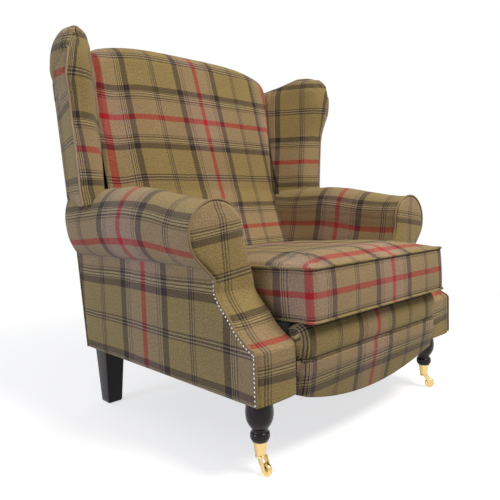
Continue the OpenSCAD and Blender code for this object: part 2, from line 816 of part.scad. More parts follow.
// Upright board inside the wing, from the back post to the wing's front edge
module wing_board_shape(grow) {
    z0 = arm_h + arm_rise + 2 * fit;
    z1 = wing_top - wing_t;
    rear = back_inside_y(z0);
    front = front_y + base_d - wing_depth + wing_t / 2;
    post_x = frame_x - post_w / 2;
    edge_x = (wing_foot_w + wing_w) / 4 - wing_t / 2;
    half = board_t / 2 + grow;
    translate([0, 0, z0 - grow])
        linear_extrude(z1 - z0 + 2 * grow)
            polygon([[post_x - half, rear], [edge_x - half, front - grow],
                [edge_x + half, front - grow], [post_x + half, rear]]);
}

module wing_board(side) {
    color(beech) on_side(side) difference() {
        wing_board_shape(0);
        back_post_shape(fit);
    }
}

// The same loft as the arm's, grown by the named clearance, to seat the wing on the arm
module arm_seat() {
    translate([scroll_x, 0, scroll_z])
        scale(1 + fit / scroll_r)
            translate([-scroll_x, 0, -scroll_z])
                arm_loft();
}

module wing(side) {
    color(wool) on_side(side) difference() {
        wing_loft();
        arm_seat();
        back_post_shape(fit);
        wing_board_shape(fit);
    }
}

// Legs

bolt_r = 4;
bolt_length = 90;
rear_bolt_in = 17;

cup_wall = 2;
spigot_r = cup_r - cup_wall - fit;
leg_h = floor_gap - cup_z - cup_h;

module front_leg(side) {
    profile = [for (p = leg_profile_shares) [p[0] * bulb_r, cup_z + cup_h + fit + p[1] * (leg_h - fit)]];
    x = base_half - leg_in_x;
    color(mahogany) difference() {
        translate([side * x, front_y + leg_in_y, 0]) {
            rotate_extrude()
                polygon(concat([[0, floor_gap]], profile, [[0, cup_z + cup_h + fit]]));
            translate([0, 0, cup_z + cup_h * 0.2])
                cylinder(h = cup_h, r1 = spigot_r * 0.75, r2 = spigot_r);
        }
        leg_bolts_shape(bolt_r + play);
    }
}

module rear_leg(side) {
    top = rear_leg_w / 2;
    foot = rear_foot_w / 2;
    x = base_half - rear_in_x;
    outline = [[-foot, glide_t], [foot, glide_t], [top, floor_gap], [-top, floor_gap]];
    color(mahogany) difference() {
        translate([side * x, front_y + base_d - rear_in_y, 0]) intersection() {
            yz_slab(-top, top) polygon(outline);
            xz_slab(-top, top) polygon(outline);
        }
        leg_bolts_shape(bolt_r + play);
    }
}

glide_t = 3;
glide_r = 10;

module rear_glides() {
    color(steel)
        for (side = [left, right])
            translate([side * (base_half - rear_in_x), front_y + base_d - rear_in_y, 0])
                cylinder(h = glide_t, r = glide_r);
}

module leg_bolts() {
    color(steel) leg_bolts_shape(bolt_r);
}

// Castors: a cup on the leg's spigot, a horn that swivels under it, and a wheel on an axle pin

cup_foot_r = 11.5;
pin_r = 3;
pin_head_r = 5.5;
pin_head_t = 2;
axle_r = 2;
cheek_t = 3;
horn_t = 4.5;
horn_z = cup_z - fit - horn_t;

function castor_dir(side) = side == left ? trail_left : trail_right;

module at_castor(side) {
    translate([side * (base_half - leg_in_x), front_y + leg_in_y, 0])
        rotate([0, 0, castor_dir(side)]) children();
}

module castor_cup(side) {
    slope = (cup_r - cup_foot_r) / cup_h;
    floor_t = cup_h * 0.18;
    color(brass) at_castor(side)
        rotate_extrude()
            polygon([
                [pin_r, cup_z], [cup_foot_r, cup_z], [cup_r, cup_z + cup_h],
                [cup_r - cup_wall, cup_z + cup_h],
                [cup_foot_r + slope * floor_t - cup_wall, cup_z + floor_t], [pin_r, cup_z + floor_t]]);
}

module swivel_pin(side) {
    color(brass) at_castor(side) {
        translate([0, 0, horn_z - fit - pin_head_t])
            cylinder(h = pin_head_t, r = pin_head_r);
        translate([0, 0, horn_z - fit])
            cylinder(h = cup_z + cup_h * 0.18 - horn_z + fit, r = pin_r);
    }
}

module castor_horn(side) {
    reach = wheel_w / 2 + cheek_t + fit;
    color(brass) at_castor(side) difference() {
        union() {
            translate([0, 0, horn_z]) cylinder(h = horn_t, r = cup_foot_r);
            for (s = [left, right])
                translate([0, s * (wheel_w / 2 + fit) + (s == left ? -cheek_t : 0), 0])
                    xz_slab(0, cheek_t)
                        hull() {
                            translate([cup_foot_r * 0.2, horn_z + horn_t / 2])
                                circle(horn_t / 2, $fn = 24);
                            translate([cup_foot_r * 0.8, horn_z + horn_t / 2])
                                circle(horn_t / 2, $fn = 24);
                            translate([trail, wheel_r]) circle(axle_r * 2.4, $fn = 24);
                        }
        }
        translate([0, 0, horn_z - over]) cylinder(h = horn_t + 2 * over, r = pin_r + play);
        translate([0, 0, horn_z - fit - pin_head_t - over])
            cylinder(h = pin_head_t + fit + over, r = pin_head_r + 2 * fit);
        translate([trail, reach + over, wheel_r]) rotate([90, 0, 0])
            cylinder(h = 2 * (reach + over), r = axle_r, $fn = 24);
    }
}

module axle_pin(side) {
    reach = wheel_w / 2 + cheek_t + fit;
    color(steel) at_castor(side)
        translate([trail, reach + fit, wheel_r]) rotate([90, 0, 0])
            cylinder(h = 2 * (reach + fit), r = axle_r, $fn = 24);
}

module castor_wheel(side) {
    tread = wheel_w * 0.3;
    color(brass) at_castor(side)
        translate([trail, 0, wheel_r]) rotate([90, 0, 0])
            rotate_extrude()
                polygon([
                    [axle_r + play, -wheel_w / 2], [wheel_r * 0.82, -wheel_w / 2],
                    [wheel_r, -tread], [wheel_r, tread],
                    [wheel_r * 0.82, wheel_w / 2], [axle_r + play, wheel_w / 2]]);
}

// Loose seat cushion, in its own frame: x across, y back from its front, z up from its underside

cushion_half = inner_x - cushion_gap;
cushion_d = (back_face_y(0, deck_z0) - cushion_gap - cushion_y0) / cos(seat_pitch);
plan_arc = 5;
plan_side_shares = [0.1, 0.36, 0.64, 0.9];
side_pull = 2;

// Points between two corners of the cushion's outline
function plan_side_points(a, b) = [for (s = plan_side_shares) a + (b - a) * s];

// The sides are drawn in a little between the corners, and spread in front of the arms
function plan_point(p) =
    let (hx = cushion_half, hy = cushion_d / 2,
         spread = smooth((-p[1] - hy * 0.8) / (hy * 0.2)) * cushion_flare / hx)
        [p[0] * (1 + spread) - sign(p[0]) * side_pull * (1 - pow(p[1] / hy, 2)),
         p[1] - sign(p[1]) * side_pull * (1 - pow(p[0] / hx, 2))];

// Rounded outline of the cushion at a distance inside its edge
function plan_ring(inset) =
    let (hx = cushion_half - inset, hy = cushion_d / 2 - inset, r = max(cushion_r - inset, over),
         corners = [[hx - r, hy - r], [r - hx, hy - r], [r - hx, r - hy], [hx - r, r - hy]])
    [for (c = [0 : 3])
        let (turn = 90 * c, next = corners[(c + 1) % 4], away = r * [cos(turn + 90), sin(turn + 90)])
            each [for (q = concat(
                [for (i = [0 : plan_arc])
                    let (a = turn + 90 * i / plan_arc) corners[c] + r * [cos(a), sin(a)]],
                plan_side_points(corners[c] + away, next + away)))
                    plan_point(q)]];

// A ring of that outline at one height, or over the crown
function flat_ring(inset, z) = [for (p = plan_ring(inset)) [p[0], p[1] + cushion_d / 2, z]];
function crown_z(p) =
    let (fx = 1 - pow(min(abs(p[0]) / cushion_half, 1), 4),
         fy = 1 - pow(min(2 * abs(p[1]) / cushion_d, 1), 4))
            cushion_t - cord_r + (cushion_crown + cord_r) * pow(fx * fy, 0.4);
function crown_ring(inset) = [for (p = plan_ring(inset)) [p[0], p[1] + cushion_d / 2, crown_z(p)]];

module cushion_frame() {
    translate([0, cushion_y0, seat_z]) rotate([-seat_pitch, 0, 0]) children();
}

// Rings from the middle of the underside, out and up the boxing, and in over the crown
under_shares = [0.9, 0.45, 0.1];
crown_shares = [0.06, 0.13, 0.25, 0.42, 0.65, 0.9];
boxing_lip = cord_r * 1.4;
boxing_side = cord_r * 0.9;

module seat_cushion() {
    lip = boxing_lip;
    side = boxing_side;
    rings = concat(
        [for (s = under_shares) flat_ring(s * cushion_half, 0)],
        [flat_ring(2 * lip, 0), flat_ring(lip, cushion_t * 0.07),
         flat_ring(side, cushion_t * 0.3), flat_ring(side, cushion_t * 0.7),
         flat_ring(lip, cushion_t - 1.5 * lip), flat_ring(2 * lip, cushion_t - cord_r)],
        [for (s = crown_shares) crown_ring(s * cushion_half)]);
    color(wool) cushion_frame() loft(rings);
}

module cushion_piping() {
    off = cord_r;
    color(wool_dark) cushion_frame()
        for (z = [cord_r, cushion_t - cord_r])
            cord(flat_ring(off, z), cord_r, [0, 0, 1], closed = true);
}

module cushion_zip() {
    length = cushion_half;
    t = webbing_t / 2;
    tape = cushion_t / 10;
    y0 = cushion_d - boxing_side - side_pull / 2;
    color(black_cloth) cushion_frame()
        block(-length / 2, length / 2, y0, y0 + t, cushion_t / 2 - tape / 2, cushion_t / 2 + tape / 2);
}

front_rail();
rear_rail();
side_rail(left);  // side_rail_left
side_rail(right);  // side_rail_right
front_post(left);  // front_post_left
front_post(right);  // front_post_right
back_post(left);  // back_post_left
back_post(right);  // back_post_right
crest_rail();
stay_rail();
arm_rail(left);  // arm_rail_left
arm_rail(right);  // arm_rail_right
wing_board(left);  // wing_board_left
wing_board(right);  // wing_board_right
corner_blocks();
seat_webbing();
back_webbing();
seat_deck();
outside_arm(left);  // outside_arm_left
outside_arm(right);  // outside_arm_right
arm_pad(left);  // arm_pad_left
arm_pad(right);  // arm_pad_right
arm_facing(left);  // arm_facing_left
arm_facing(right);  // arm_facing_right
wing(left);  // wing_left
wing(right);  // wing_right
inside_back();
outside_back();
border_roll();
front_apron();
dust_cover();
facing_piping(left);  // facing_piping_left
facing_piping(right);  // facing_piping_right
border_piping();
nailheads(left);  // nailheads_left
nailheads(right);  // nailheads_right
front_leg(left);  // front_leg_left
front_leg(right);  // front_leg_right
rear_leg(left);  // rear_leg_left
rear_leg(right);  // rear_leg_right
leg_bolts();
rear_glides();
castor_cup(left);  // castor_cup_left
castor_cup(right);  // castor_cup_right
swivel_pin(left);  // swivel_pin_left
swivel_pin(right);  // swivel_pin_right
castor_horn(left);  // castor_horn_left
castor_horn(right);  // castor_horn_right
axle_pin(left);  // axle_pin_left
axle_pin(right);  // axle_pin_right
castor_wheel(left);  // castor_wheel_left
castor_wheel(right);  // castor_wheel_right
seat_cushion();
cushion_piping();
cushion_zip();
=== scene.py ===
"""Fireside wing chair in tartan wool: the pieces that are seen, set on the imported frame.

Lengths are millimetres and carry the names of the part's own source. A piece's points are turned
into metres when its mesh is made. The front faces -Y and +Z is up.
"""
import math

import bmesh
import bpy
import numpy as np
from mathutils import Matrix, Vector


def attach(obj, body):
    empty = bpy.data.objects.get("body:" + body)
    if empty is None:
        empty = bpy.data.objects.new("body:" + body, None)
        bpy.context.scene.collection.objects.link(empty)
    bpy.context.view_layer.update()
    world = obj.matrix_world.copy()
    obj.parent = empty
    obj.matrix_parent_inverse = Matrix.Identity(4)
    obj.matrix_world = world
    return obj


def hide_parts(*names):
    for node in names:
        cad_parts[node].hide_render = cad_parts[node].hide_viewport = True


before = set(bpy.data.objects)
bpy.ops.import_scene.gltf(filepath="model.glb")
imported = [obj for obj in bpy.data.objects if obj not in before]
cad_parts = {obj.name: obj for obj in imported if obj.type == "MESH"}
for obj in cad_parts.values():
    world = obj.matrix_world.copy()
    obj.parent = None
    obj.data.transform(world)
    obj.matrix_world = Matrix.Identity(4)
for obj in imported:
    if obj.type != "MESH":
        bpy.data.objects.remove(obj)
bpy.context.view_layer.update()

PI = math.pi


# ------------------------------------------------------------------ the camera
# It stands in front of the chair's image-left arm, a little above the arm's top, and looks
# slightly down. The shift gives the picture's crop, and there is no depth of field.

yaw, pitch, tilt = (math.radians(a) for a in (44.7, 3.4, -1.48))
ahead = Vector((math.sin(yaw) * math.cos(pitch), math.cos(yaw) * math.cos(pitch), -math.sin(pitch)))
level = Vector((math.cos(yaw), -math.sin(yaw), 0))
plumb = level.cross(ahead)
cam_right = level * math.cos(tilt) + plumb * math.sin(tilt)
cam_up = plumb * math.cos(tilt) - level * math.sin(tilt)
camera = bpy.data.objects.new("camera", bpy.data.cameras.new("camera"))
camera.matrix_world = (Matrix.Translation((-1.0875, -1.1236, 0.5676))
                       @ Matrix((cam_right, cam_up, -ahead)).transposed().to_4x4())
camera.data.lens, camera.data.sensor_width = 38.1, 36
camera.data.shift_x, camera.data.shift_y = -0.0284, -0.033
camera.data.clip_start, camera.data.clip_end = 0.05, 60
bpy.context.scene.collection.objects.link(camera)
bpy.context.scene.camera = camera


# ------------------------------------------------------------------ the studio
# A pale matt floor that keeps the chair's shadow and fades into a white surround, with one broad
# warm lamp from the front right, a cool one from the left, and a cool light from overhead.

bpy.context.scene.view_settings.view_transform = "Standard"


def put(tree, kind, inputs=None, **props):
    """Adds a node, sets its properties, and sets or links its inputs by name or number."""
    n = tree.nodes.new(kind)
    for key, value in props.items():
        setattr(n, key, value)
    for key, value in (inputs or {}).items():
        if isinstance(value, bpy.types.NodeSocket):
            tree.links.new(value, n.inputs[key])
        else:
            n.inputs[key].default_value = value
    return n


def calc(tree, operation, a, b=None, c=None, clamp=False):
    """One step of arithmetic on a node tree's values."""
    given = {i: v for i, v in enumerate((a, b, c)) if v is not None}
    return put(tree, "ShaderNodeMath", given, operation=operation, use_clamp=clamp).outputs[0]


def new_material(name):
    mat = bpy.data.materials.new(name)
    mat.use_nodes = True
    mat.node_tree.nodes.clear()
    return mat, mat.node_tree


def seen_directly(tree):
    """1 where the surface is looked at directly, in a reflection or through something clear."""
    path = put(tree, "ShaderNodeLightPath")
    return calc(tree, "MAXIMUM", path.outputs["Is Camera Ray"],
                calc(tree, "MAXIMUM", path.outputs["Is Glossy Ray"], path.outputs["Is Transmission Ray"]))


floor_mat, t = new_material("studio_floor")
spot = put(t, "ShaderNodeTexCoord").outputs["Object"]
away = put(t, "ShaderNodeVectorMath", {0: spot}, operation="LENGTH").outputs["Value"]
fade = put(t, "ShaderNodeMapRange", {"Value": away, "From Min": 0.75, "From Max": 2.2},
           interpolation_type="SMOOTHSTEP").outputs["Result"]
matt = put(t, "ShaderNodeBsdfDiffuse", {"Color": (0.78, 0.78, 0.78, 1)}).outputs[0]
glow = put(t, "ShaderNodeEmission", {"Strength": 0.66}).outputs[0]
near = put(t, "ShaderNodeAddShader", {0: matt, 1: glow}).outputs[0]
white = put(t, "ShaderNodeEmission", {"Strength": 1.0}).outputs[0]
looked = put(t, "ShaderNodeMixShader", {0: fade, 1: near, 2: white}).outputs[0]
dim = put(t, "ShaderNodeBsdfDiffuse", {"Color": (0.36, 0.36, 0.36, 1)}).outputs[0]
both = put(t, "ShaderNodeMixShader", {0: seen_directly(t), 1: dim, 2: looked}).outputs[0]
put(t, "ShaderNodeOutputMaterial", {"Surface": both})

floor_mesh = bpy.data.meshes.new("studio_floor")
floor_mesh.from_pydata([(-24, -24, 0), (24, -24, 0), (24, 24, 0), (-24, 24, 0)], [], [(0, 1, 2, 3)])
floor_mesh.materials.append(floor_mat)
floor = bpy.data.objects.new("studio_floor", floor_mesh)
bpy.context.scene.collection.objects.link(floor)

world = bpy.data.worlds.new("studio")
bpy.context.scene.world = world
world.use_nodes = True
t = world.node_tree
t.nodes.clear()
over_head = put(t, "ShaderNodeSeparateXYZ", {0: put(t, "ShaderNodeTexCoord").outputs["Generated"]}).outputs[2]
level_of = calc(t, "MULTIPLY_ADD", calc(t, "MAXIMUM", over_head, 0.0), 0.36, 0.08)
ambient = put(t, "ShaderNodeBackground", {"Color": (0.96, 0.97, 1.0, 1), "Strength": level_of}).outputs[0]
surround = put(t, "ShaderNodeBackground", {"Color": (1, 1, 1, 1), "Strength": 1.0}).outputs[0]
put(t, "ShaderNodeOutputWorld", {"Surface": put(
    t, "ShaderNodeMixShader", {0: seen_directly(t), 1: ambient, 2: surround}).outputs[0]})


def lamp(name, place, target, size, watts, colour):
    light = bpy.data.lights.new(name, "AREA")
    light.shape, light.size, light.energy, light.color = "SQUARE", size, watts, colour
    ob = bpy.data.objects.new(name, light)
    ob.location = place
    ob.rotation_euler = (Vector(target) - Vector(place)).to_track_quat("-Z", "Y").to_euler()
    bpy.context.scene.collection.objects.link(ob)


lamp("key", (0.3, -1.9, 2.8), (0, -0.1, 0.5), 1.2, 72, (1.0, 0.94, 0.83))
lamp("left_window", (-3.0, 0.35, 0.55), (0, 0, 0.5), 1.0, 32, (0.72, 0.78, 1.0))


# ------------------------------------------------------------------ the inside back
# One sheet of wool over wadding and springs. It is drawn in at both sides where it meets the
# wings, crowned in front, and rolled over the crest rail, behind which it is tacked.

mm = 0.001
base_d, floor_gap, panel_t = 712, 166, 6
chair_h, back_rake, back_half, crest_fall = 1054, 8.5, 345, 36
back_t, back_growth, back_crown = 96, 52, 20
lumbar, lumbar_top, lumbar_foot = 92, 612, 415
seat_z, cushion_over, wing_t = 315, 46, 74
fit, back_frame_t, crest_rail_h, crest_rail_t, webbing_t, rail_h = 0.3, 58, 80, 30, 2, 110
rake = math.radians(back_rake)
rake_tan = math.tan(rake)
front_y = -((base_d + (chair_h - wing_t / 2 - floor_gap) * rake_tan) - cushion_over) / 2
deck_z0 = floor_gap + rail_h + 2 * webbing_t + fit
peak_share = 0.42  # a rolled top is highest at this share of its thickness
sett = 350  # half of the tartan's repeat


def smooth(t):
    t = np.clip(t, 0, 1)
    return t * t * (3 - 2 * t)


def line(x, xs, ys):
    """Straight interpolation that goes on past both ends with the end slopes."""
    x = np.asarray(x, float)
    y = np.interp(x, xs, ys)
    y = np.where(x < xs[0], ys[0] + (x - xs[0]) * (ys[1] - ys[0]) / (xs[1] - xs[0]), y)
    return np.where(x > xs[-1], ys[-1] + (x - xs[-1]) * (ys[-1] - ys[-2]) / (xs[-1] - xs[-2]), y)


def join(*parts):
    """Coordinates, each a number, a row, a column or a grid, joined into points."""
    return np.stack(np.broadcast_arrays(*parts), -1)


def mirrored(half):
    return np.concatenate([-half[:0:-1], half])


def run_along(path):
    """How far along its path each point lies."""
    step = np.linalg.norm(np.diff(path, axis=0), axis=-1)
    return np.concatenate([np.zeros_like(step[:1]), np.cumsum(step, axis=0)])


def waves(points, size, seed, octaves=6):
    """Smooth random swells of a given size, the same on every run, between about -1 and 1."""
    rng = np.random.default_rng(seed)
    out = np.zeros(points.shape[:-1])
    for _ in range(octaves):
        k = rng.normal(size=3)
        k *= 2 * PI / (size * rng.uniform(0.7, 1.6) * np.linalg.norm(k))
        out += np.sin(points @ k + rng.uniform(0, 2 * PI))
    return out / octaves


def rear_y(z):
    return front_y + base_d + (z - floor_gap) * rake_tan


def back_inside_y(z):
    return rear_y(z) - (panel_t + fit) / math.cos(rake)


def back_front_y(z):
    return rear_y(z) - back_t - back_growth * (z - seat_z) / (chair_h - seat_z)


def back_face_y(x, z):
    swell = lumbar * np.clip((lumbar_top - z) / (lumbar_top - lumbar_foot), 0, 1) ** 1.15
    return back_front_y(z) - swell - back_crown * (1 - np.minimum(np.abs(x) / back_half, 1) ** 2)


def crest_z(x):
    t = np.minimum(np.abs(x) / back_half, 1)
    corner = np.clip((t - 0.9) / 0.1, 0, 1)
    return chair_h - crest_fall * (t ** 4 + corner * corner / 3)


class Skin:
    """Collects grids of points into one mesh. Each corner of a face carries its place on the cloth:
    warp across and weft along, in lengths of half the tartan's repeat."""

    def __init__(self):
        self.verts, self.faces, self.uvs, self.count = [], [], [], 0

    def add(self, pts):
        self.verts.append(pts)
        self.count += len(pts)
        return self.count - len(pts)

    def grid(self, pts, uv=None, wrap=False, others=()):
        """Joins rows of points with faces. Each of the others gives some faces a cloth of their own."""
        pts = np.asarray(pts, float)
        rows, cols = pts.shape[:2]
        uv = np.zeros((rows, cols + wrap, 2)) if uv is None else np.asarray(uv, float)
        if wrap and uv.shape[1] == cols:
            uv = np.concatenate([uv, uv[:, :1]], 1)
        base = self.add(pts.reshape(-1, 3))
        for r in range(rows - 1):
            a, b = base + r * cols, base + (r + 1) * cols
            for c in range(cols if wrap else cols - 1):
                d = (c + 1) % cols
                self.faces.append((a + c, a + d, b + d, b + c))
                w = next((cut for cut, faces in others if faces[r, c]), uv)
                self.uvs += [w[r, c], w[r, c + 1], w[r + 1, c + 1], w[r + 1, c]]

    def zip(self, ring, uv=None):
        """Closes a ring by joining its first half to its second half."""
        n = len(ring)
        uv = np.zeros((n, 2)) if uv is None else uv
        base = self.add(np.asarray(ring, float))
        for i in range((n - 1) // 2):
            k = list(dict.fromkeys([i, i + 1, n - 2 - i, n - 1 - i]))
            if len(k) > 2:
                self.faces.append(tuple(base + j for j in k))
                self.uvs += [uv[j] for j in k]

    def fan(self, ring, uv=None):
        """Closes a round ring with triangles about its middle."""
        n = len(ring)
        uv = np.zeros((n, 2)) if uv is None else uv[:n]
        base = self.add(np.vstack([ring, np.mean(ring, 0)]))
        for i in range(n):
            j = (i + 1) % n
            self.faces.append((base + i, base + j, base + n))
            self.uvs += [uv[i], uv[j], uv.mean(0)]

    def shell(self, rings, uv=None, fans=False):
        """A closed solid from rings of points, shut at both ends."""
        self.grid(rings, uv, wrap=True)
        for end in (0, -1):
            (self.fan if fans else self.zip)(rings[end], None if uv is None else uv[end])

    def panel(self, face, behind, uv=None):
        """A thin closed panel: a face, and what lies behind each of its points."""
        self.shell(np.concatenate([face, behind[:, ::-1]], 1),
                   None if uv is None else np.concatenate([uv, uv[:, ::-1]], 1))

    def build(self, name, mat, stands_for=(), body="chair", slot="wool_tartan", weld=0.02, sharp=None):
        mesh = bpy.data.meshes.new(name)
        mesh.from_pydata((np.vstack(self.verts) * mm).tolist(), [], self.faces)
        layer = mesh.uv_layers.new(name="cloth")
        layer.data.foreach_set("uv", np.asarray(self.uvs, dtype=np.float32).ravel())
        bm = bmesh.new()
        bm.from_mesh(mesh)
        bmesh.ops.remove_doubles(bm, verts=bm.verts, dist=weld * mm)
        bmesh.ops.recalc_face_normals(bm, faces=bm.faces)
        for f in bm.faces:
            f.smooth = True
        if sharp is not None:
            for e in bm.edges:
                if len(e.link_faces) == 2 and e.calc_face_angle(0) > math.radians(sharp):
                    e.smooth = False
        bm.to_mesh(mesh)
        bm.free()
        return place(name, mesh, mat, stands_for, body, slot)


def place(name, mesh, mat, stands_for=(), body="chair", slot=None):
    """Shows a finished mesh, gives it its material, sets it on its body, and hides the parts it stands for."""
    ob = bpy.data.objects.new(name, mesh)
    bpy.context.scene.collection.objects.link(ob)
    if mat.name not in mesh.materials:
        mesh.materials.append(mat)
    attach(ob, body)
    if stands_for:
        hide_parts(*stands_for)
    return ob


# The cloth: a two-yarn tartan in olive and rose beige with dark bands, cream lines and a red line.
# The yarn colours are mixed as they are seen, half and half, and warp and weft share one scale.
olive, beige, dark, cream, red = (152, 132, 86), (166, 140, 116), (54, 44, 43), (180, 163, 128), (182, 38, 48)
soft_grey, umber = (112, 96, 82), (70, 58, 50)
warp_bands = [(0, red), (0.028, beige), (0.150, dark), (0.159, cream), (0.168, dark), (0.177, cream),
              (0.186, dark), (0.195, cream), (0.203, dark), (0.257, olive), (0.490, umber), (0.500, olive),
              (0.510, umber), (0.520, olive), (0.530, umber), (0.540, olive), (0.748, dark), (0.808, beige),
              (0.822, soft_grey), (0.833, beige), (0.846, soft_grey), (0.857, beige), (0.976, red)]
weft_bands = [(0, red), (0.0225, beige), (0.147, soft_grey), (0.157, beige), (0.166, dark), (0.177, cream),
              (0.188, dark), (0.199, cream), (0.209, dark), (0.216, cream), (0.222, dark), (0.268, olive),
              (0.472, dark), (0.482, cream), (0.492, dark)]


def bands(tree, along, stops):
    ramp = put(tree, "ShaderNodeValToRGB", {"Fac": along})
    ramp.color_ramp.interpolation = "CONSTANT"
    spots = ramp.color_ramp.elements
    while len(spots) < len(stops):
        spots.new(1.0)
    for spot, (at, colour) in zip(spots, stops):
        spot.position = at
        spot.color = tuple(c / 255 for c in colour) + (1,)
    return ramp.outputs["Color"]


def noise(tree, at, scale, detail, **more):
    return put(tree, "ShaderNodeTexNoise", {"Vector": at, "Scale": scale, "Detail": detail, **more}).outputs["Fac"]


def vector(tree, operation, inputs):
    return put(tree, "ShaderNodeVectorMath", inputs, operation=operation).outputs[0]


def mixed(tree, share, a, b):
    return put(tree, "ShaderNodeMix", {"Factor": share, "A": a, "B": b}, data_type="RGBA").outputs["Result"]


def relief(tree, strength, depth, height):
    return put(tree, "ShaderNodeBump", {"Strength": strength, "Distance": depth, "Height": height}).outputs[0]


def finished(tree, inputs):
    """Ends a material in one Principled shader."""
    shader = put(tree, "ShaderNodeBsdfPrincipled", inputs)
    put(tree, "ShaderNodeOutputMaterial", {"Surface": shader.outputs[0]})


def tartan(name, grain=0.34):
    mat, t = new_material(name)
    cloth = put(t, "ShaderNodeUVMap", uv_map="cloth").outputs["UV"]
    # the hand of the weave: bands waver by a fraction of a millimetre
    sway = put(t, "ShaderNodeTexNoise", {"Vector": cloth, "Scale": 9.0, "Detail": 1.0}).outputs["Color"]
    sway = vector(t, "SUBTRACT", {0: sway, 1: (0.5, 0.5, 0.5)})
    swayed = vector(t, "MULTIPLY_ADD", {0: sway, 1: (0.006, 0.006, 0), 2: cloth})
    part = put(t, "ShaderNodeSeparateXYZ", {0: swayed})
    u, v = part.outputs[0], part.outputs[1]
    warp = bands(t, calc(t, "PINGPONG", u, 1.0), warp_bands)
    weft = bands(t, calc(t, "PINGPONG", v, 0.5), weft_bands)
    # twill: diagonal ribs 1.3 mm apart show warp and weft by turns
    rib = calc(t, "SINE", calc(t, "MULTIPLY", calc(t, "ADD", u, v), 2 * PI * sett / 1.9))
    yarn = noise(t, cloth, 330.0, 2.0, Roughness=0.6)
    share = calc(t, "ADD", calc(t, "MULTIPLY_ADD", rib, 0.08, 0.5),
                 calc(t, "MULTIPLY_ADD", yarn, 0.5, -0.25), clamp=True)
    both = mixed(t, share, warp, weft)
    # heathered wool: fine flecks and slow drifts in lightness
    fleck = noise(t, cloth, 95.0, 4.0, Roughness=0.9)
    drift = noise(t, cloth, 3.0, 3.0)
    light = calc(t, "MULTIPLY_ADD", fleck, 4.6 * grain, 1 - 2.3 * grain)
    light = calc(t, "MULTIPLY", light, calc(t, "MULTIPLY_ADD", drift, 0.12, 0.94))
    shade = vector(t, "SCALE", {0: both, "Scale": light})
    colour = put(t, "ShaderNodeGamma", {"Color": shade, "Gamma": 2.2}).outputs[0]
    height = calc(t, "ADD", calc(t, "MULTIPLY", rib, 0.35), calc(t, "MULTIPLY", fleck, 1.6))
    finished(t, {"Base Color": colour, "Roughness": calc(t, "MULTIPLY_ADD", fleck, 0.16, 0.80),
                 "Normal": relief(t, 0.35, 0.0006, height), "Specular IOR Level": 0.22,
                 "Sheen Weight": 0.16, "Sheen Roughness": 0.55, "Sheen Tint": (0.94, 0.90, 0.84, 1)})
    return mat


wool = tartan("wool_tartan")
up_n, over_n, down_n = 84, 34, 8  # points up the front, over the crest and down behind
lay_z = 880  # the sheet is measured from this height


def back_column(x):
    """Section of the back at x, and how far along the cloth each of its points lies."""
    top = crest_z(x)
    roll_z = top - wing_t * 0.75
    rear_z = top - wing_t / 2 - 2 * fit
    z = np.linspace(deck_z0, roll_z, up_n, endpoint=False)
    edge = 9 * (1 - smooth((back_half - abs(x)) / 20)) ** 1.4
    y_front, y_rear = back_face_y(x, roll_z) + edge, back_inside_y(rear_z)
    y_peak = y_front + (y_rear - y_front) * peak_share
    a = np.radians(np.linspace(180, 0, over_n))
    arc_y = y_peak + np.where(a > PI / 2, y_peak - y_front, y_rear - y_peak) * np.cos(a)
    base = np.where(a > PI / 2, roll_z, rear_z)
    arc_z = base + (top - 0.35 * edge - base) * np.sin(a)
    hook_z = top - crest_rail_h * math.cos(rake) + (crest_rail_t + panel_t) * math.sin(rake) + 4
    down = np.linspace(hook_z, deck_z0, down_n)
    ys = np.concatenate([back_face_y(x, z) + edge, arc_y, [back_inside_y(hook_z)],
                         rear_y(down) - (back_frame_t + fit) / math.cos(rake)])
    zs = np.concatenate([z, arc_z, [hook_z], down])
    run = run_along(join(ys, zs))
    return ys, zs, run + lay_z - np.interp(lay_z, z, run[:up_n])


def back_cloth(x, run):
    """Warp and weft on the inside back: the warp lines lean with the cut of the sheet."""
    at = [-331, -251, -152, -61, 16.7, 91, 185, 275, 340]
    lean = np.interp(x, [-340, -150, 17, 345], [0.075, 0.17, 0.2, 0.2])
    shift = np.where(run > 600, lean * (lay_z - run), lean * (lay_z - 600) - 0.22 * (600 - run))
    dip = 12 * np.exp(-((x + 304) / 60) ** 2)
    return join(line(x - shift, at, [0, 0.2295, 0.515, 0.778, 1.0, 1.222, 1.485, 1.7705, 2.0]),
                line(run + dip, [415, 471, 556, 651.5, 749, 835, 920, 1019],
                     [-1.18, -1.0, -0.7565, -0.5, -0.2435, 0, 0.2435, 0.5]))


xs = mirrored(np.concatenate([np.linspace(0, 300, 40), back_half - 45 * (1 - np.linspace(0, 1, 22)[1:]) ** 1.7]))
columns = [back_column(x) for x in xs]
rows = np.array([join(x, ys, zs) for x, (ys, zs, run) in zip(xs, columns)])
cloth = np.array([back_cloth(x, run) for x, (ys, zs, run) in zip(xs, columns)])
face = np.arange(rows.shape[1]) < up_n + over_n - 6
calm = smooth((back_half - np.abs(xs)) / 60)[:, None]
rows[:, face, 1] += (1.6 * waves(rows, 150, 3) + 0.7 * waves(rows, 52, 4))[:, face] * calm
skin = Skin()
skin.grid(rows, cloth, wrap=True)
for end in (0, -1):
    skin.zip(rows[end], cloth[end, 40] + (rows[end][:, 1:] - rows[end, 40, 1:]) / sett)
back_sheet = skin.build("inside_back_cover", wool, ["inside_back"])


# ------------------------------------------------------------------ the wings
# Padded boards at both sides of the back. Wool is drawn round their front edge from inside, rolled
# outwards over the top in gathers, and slip-stitched down outside along a slanting line.

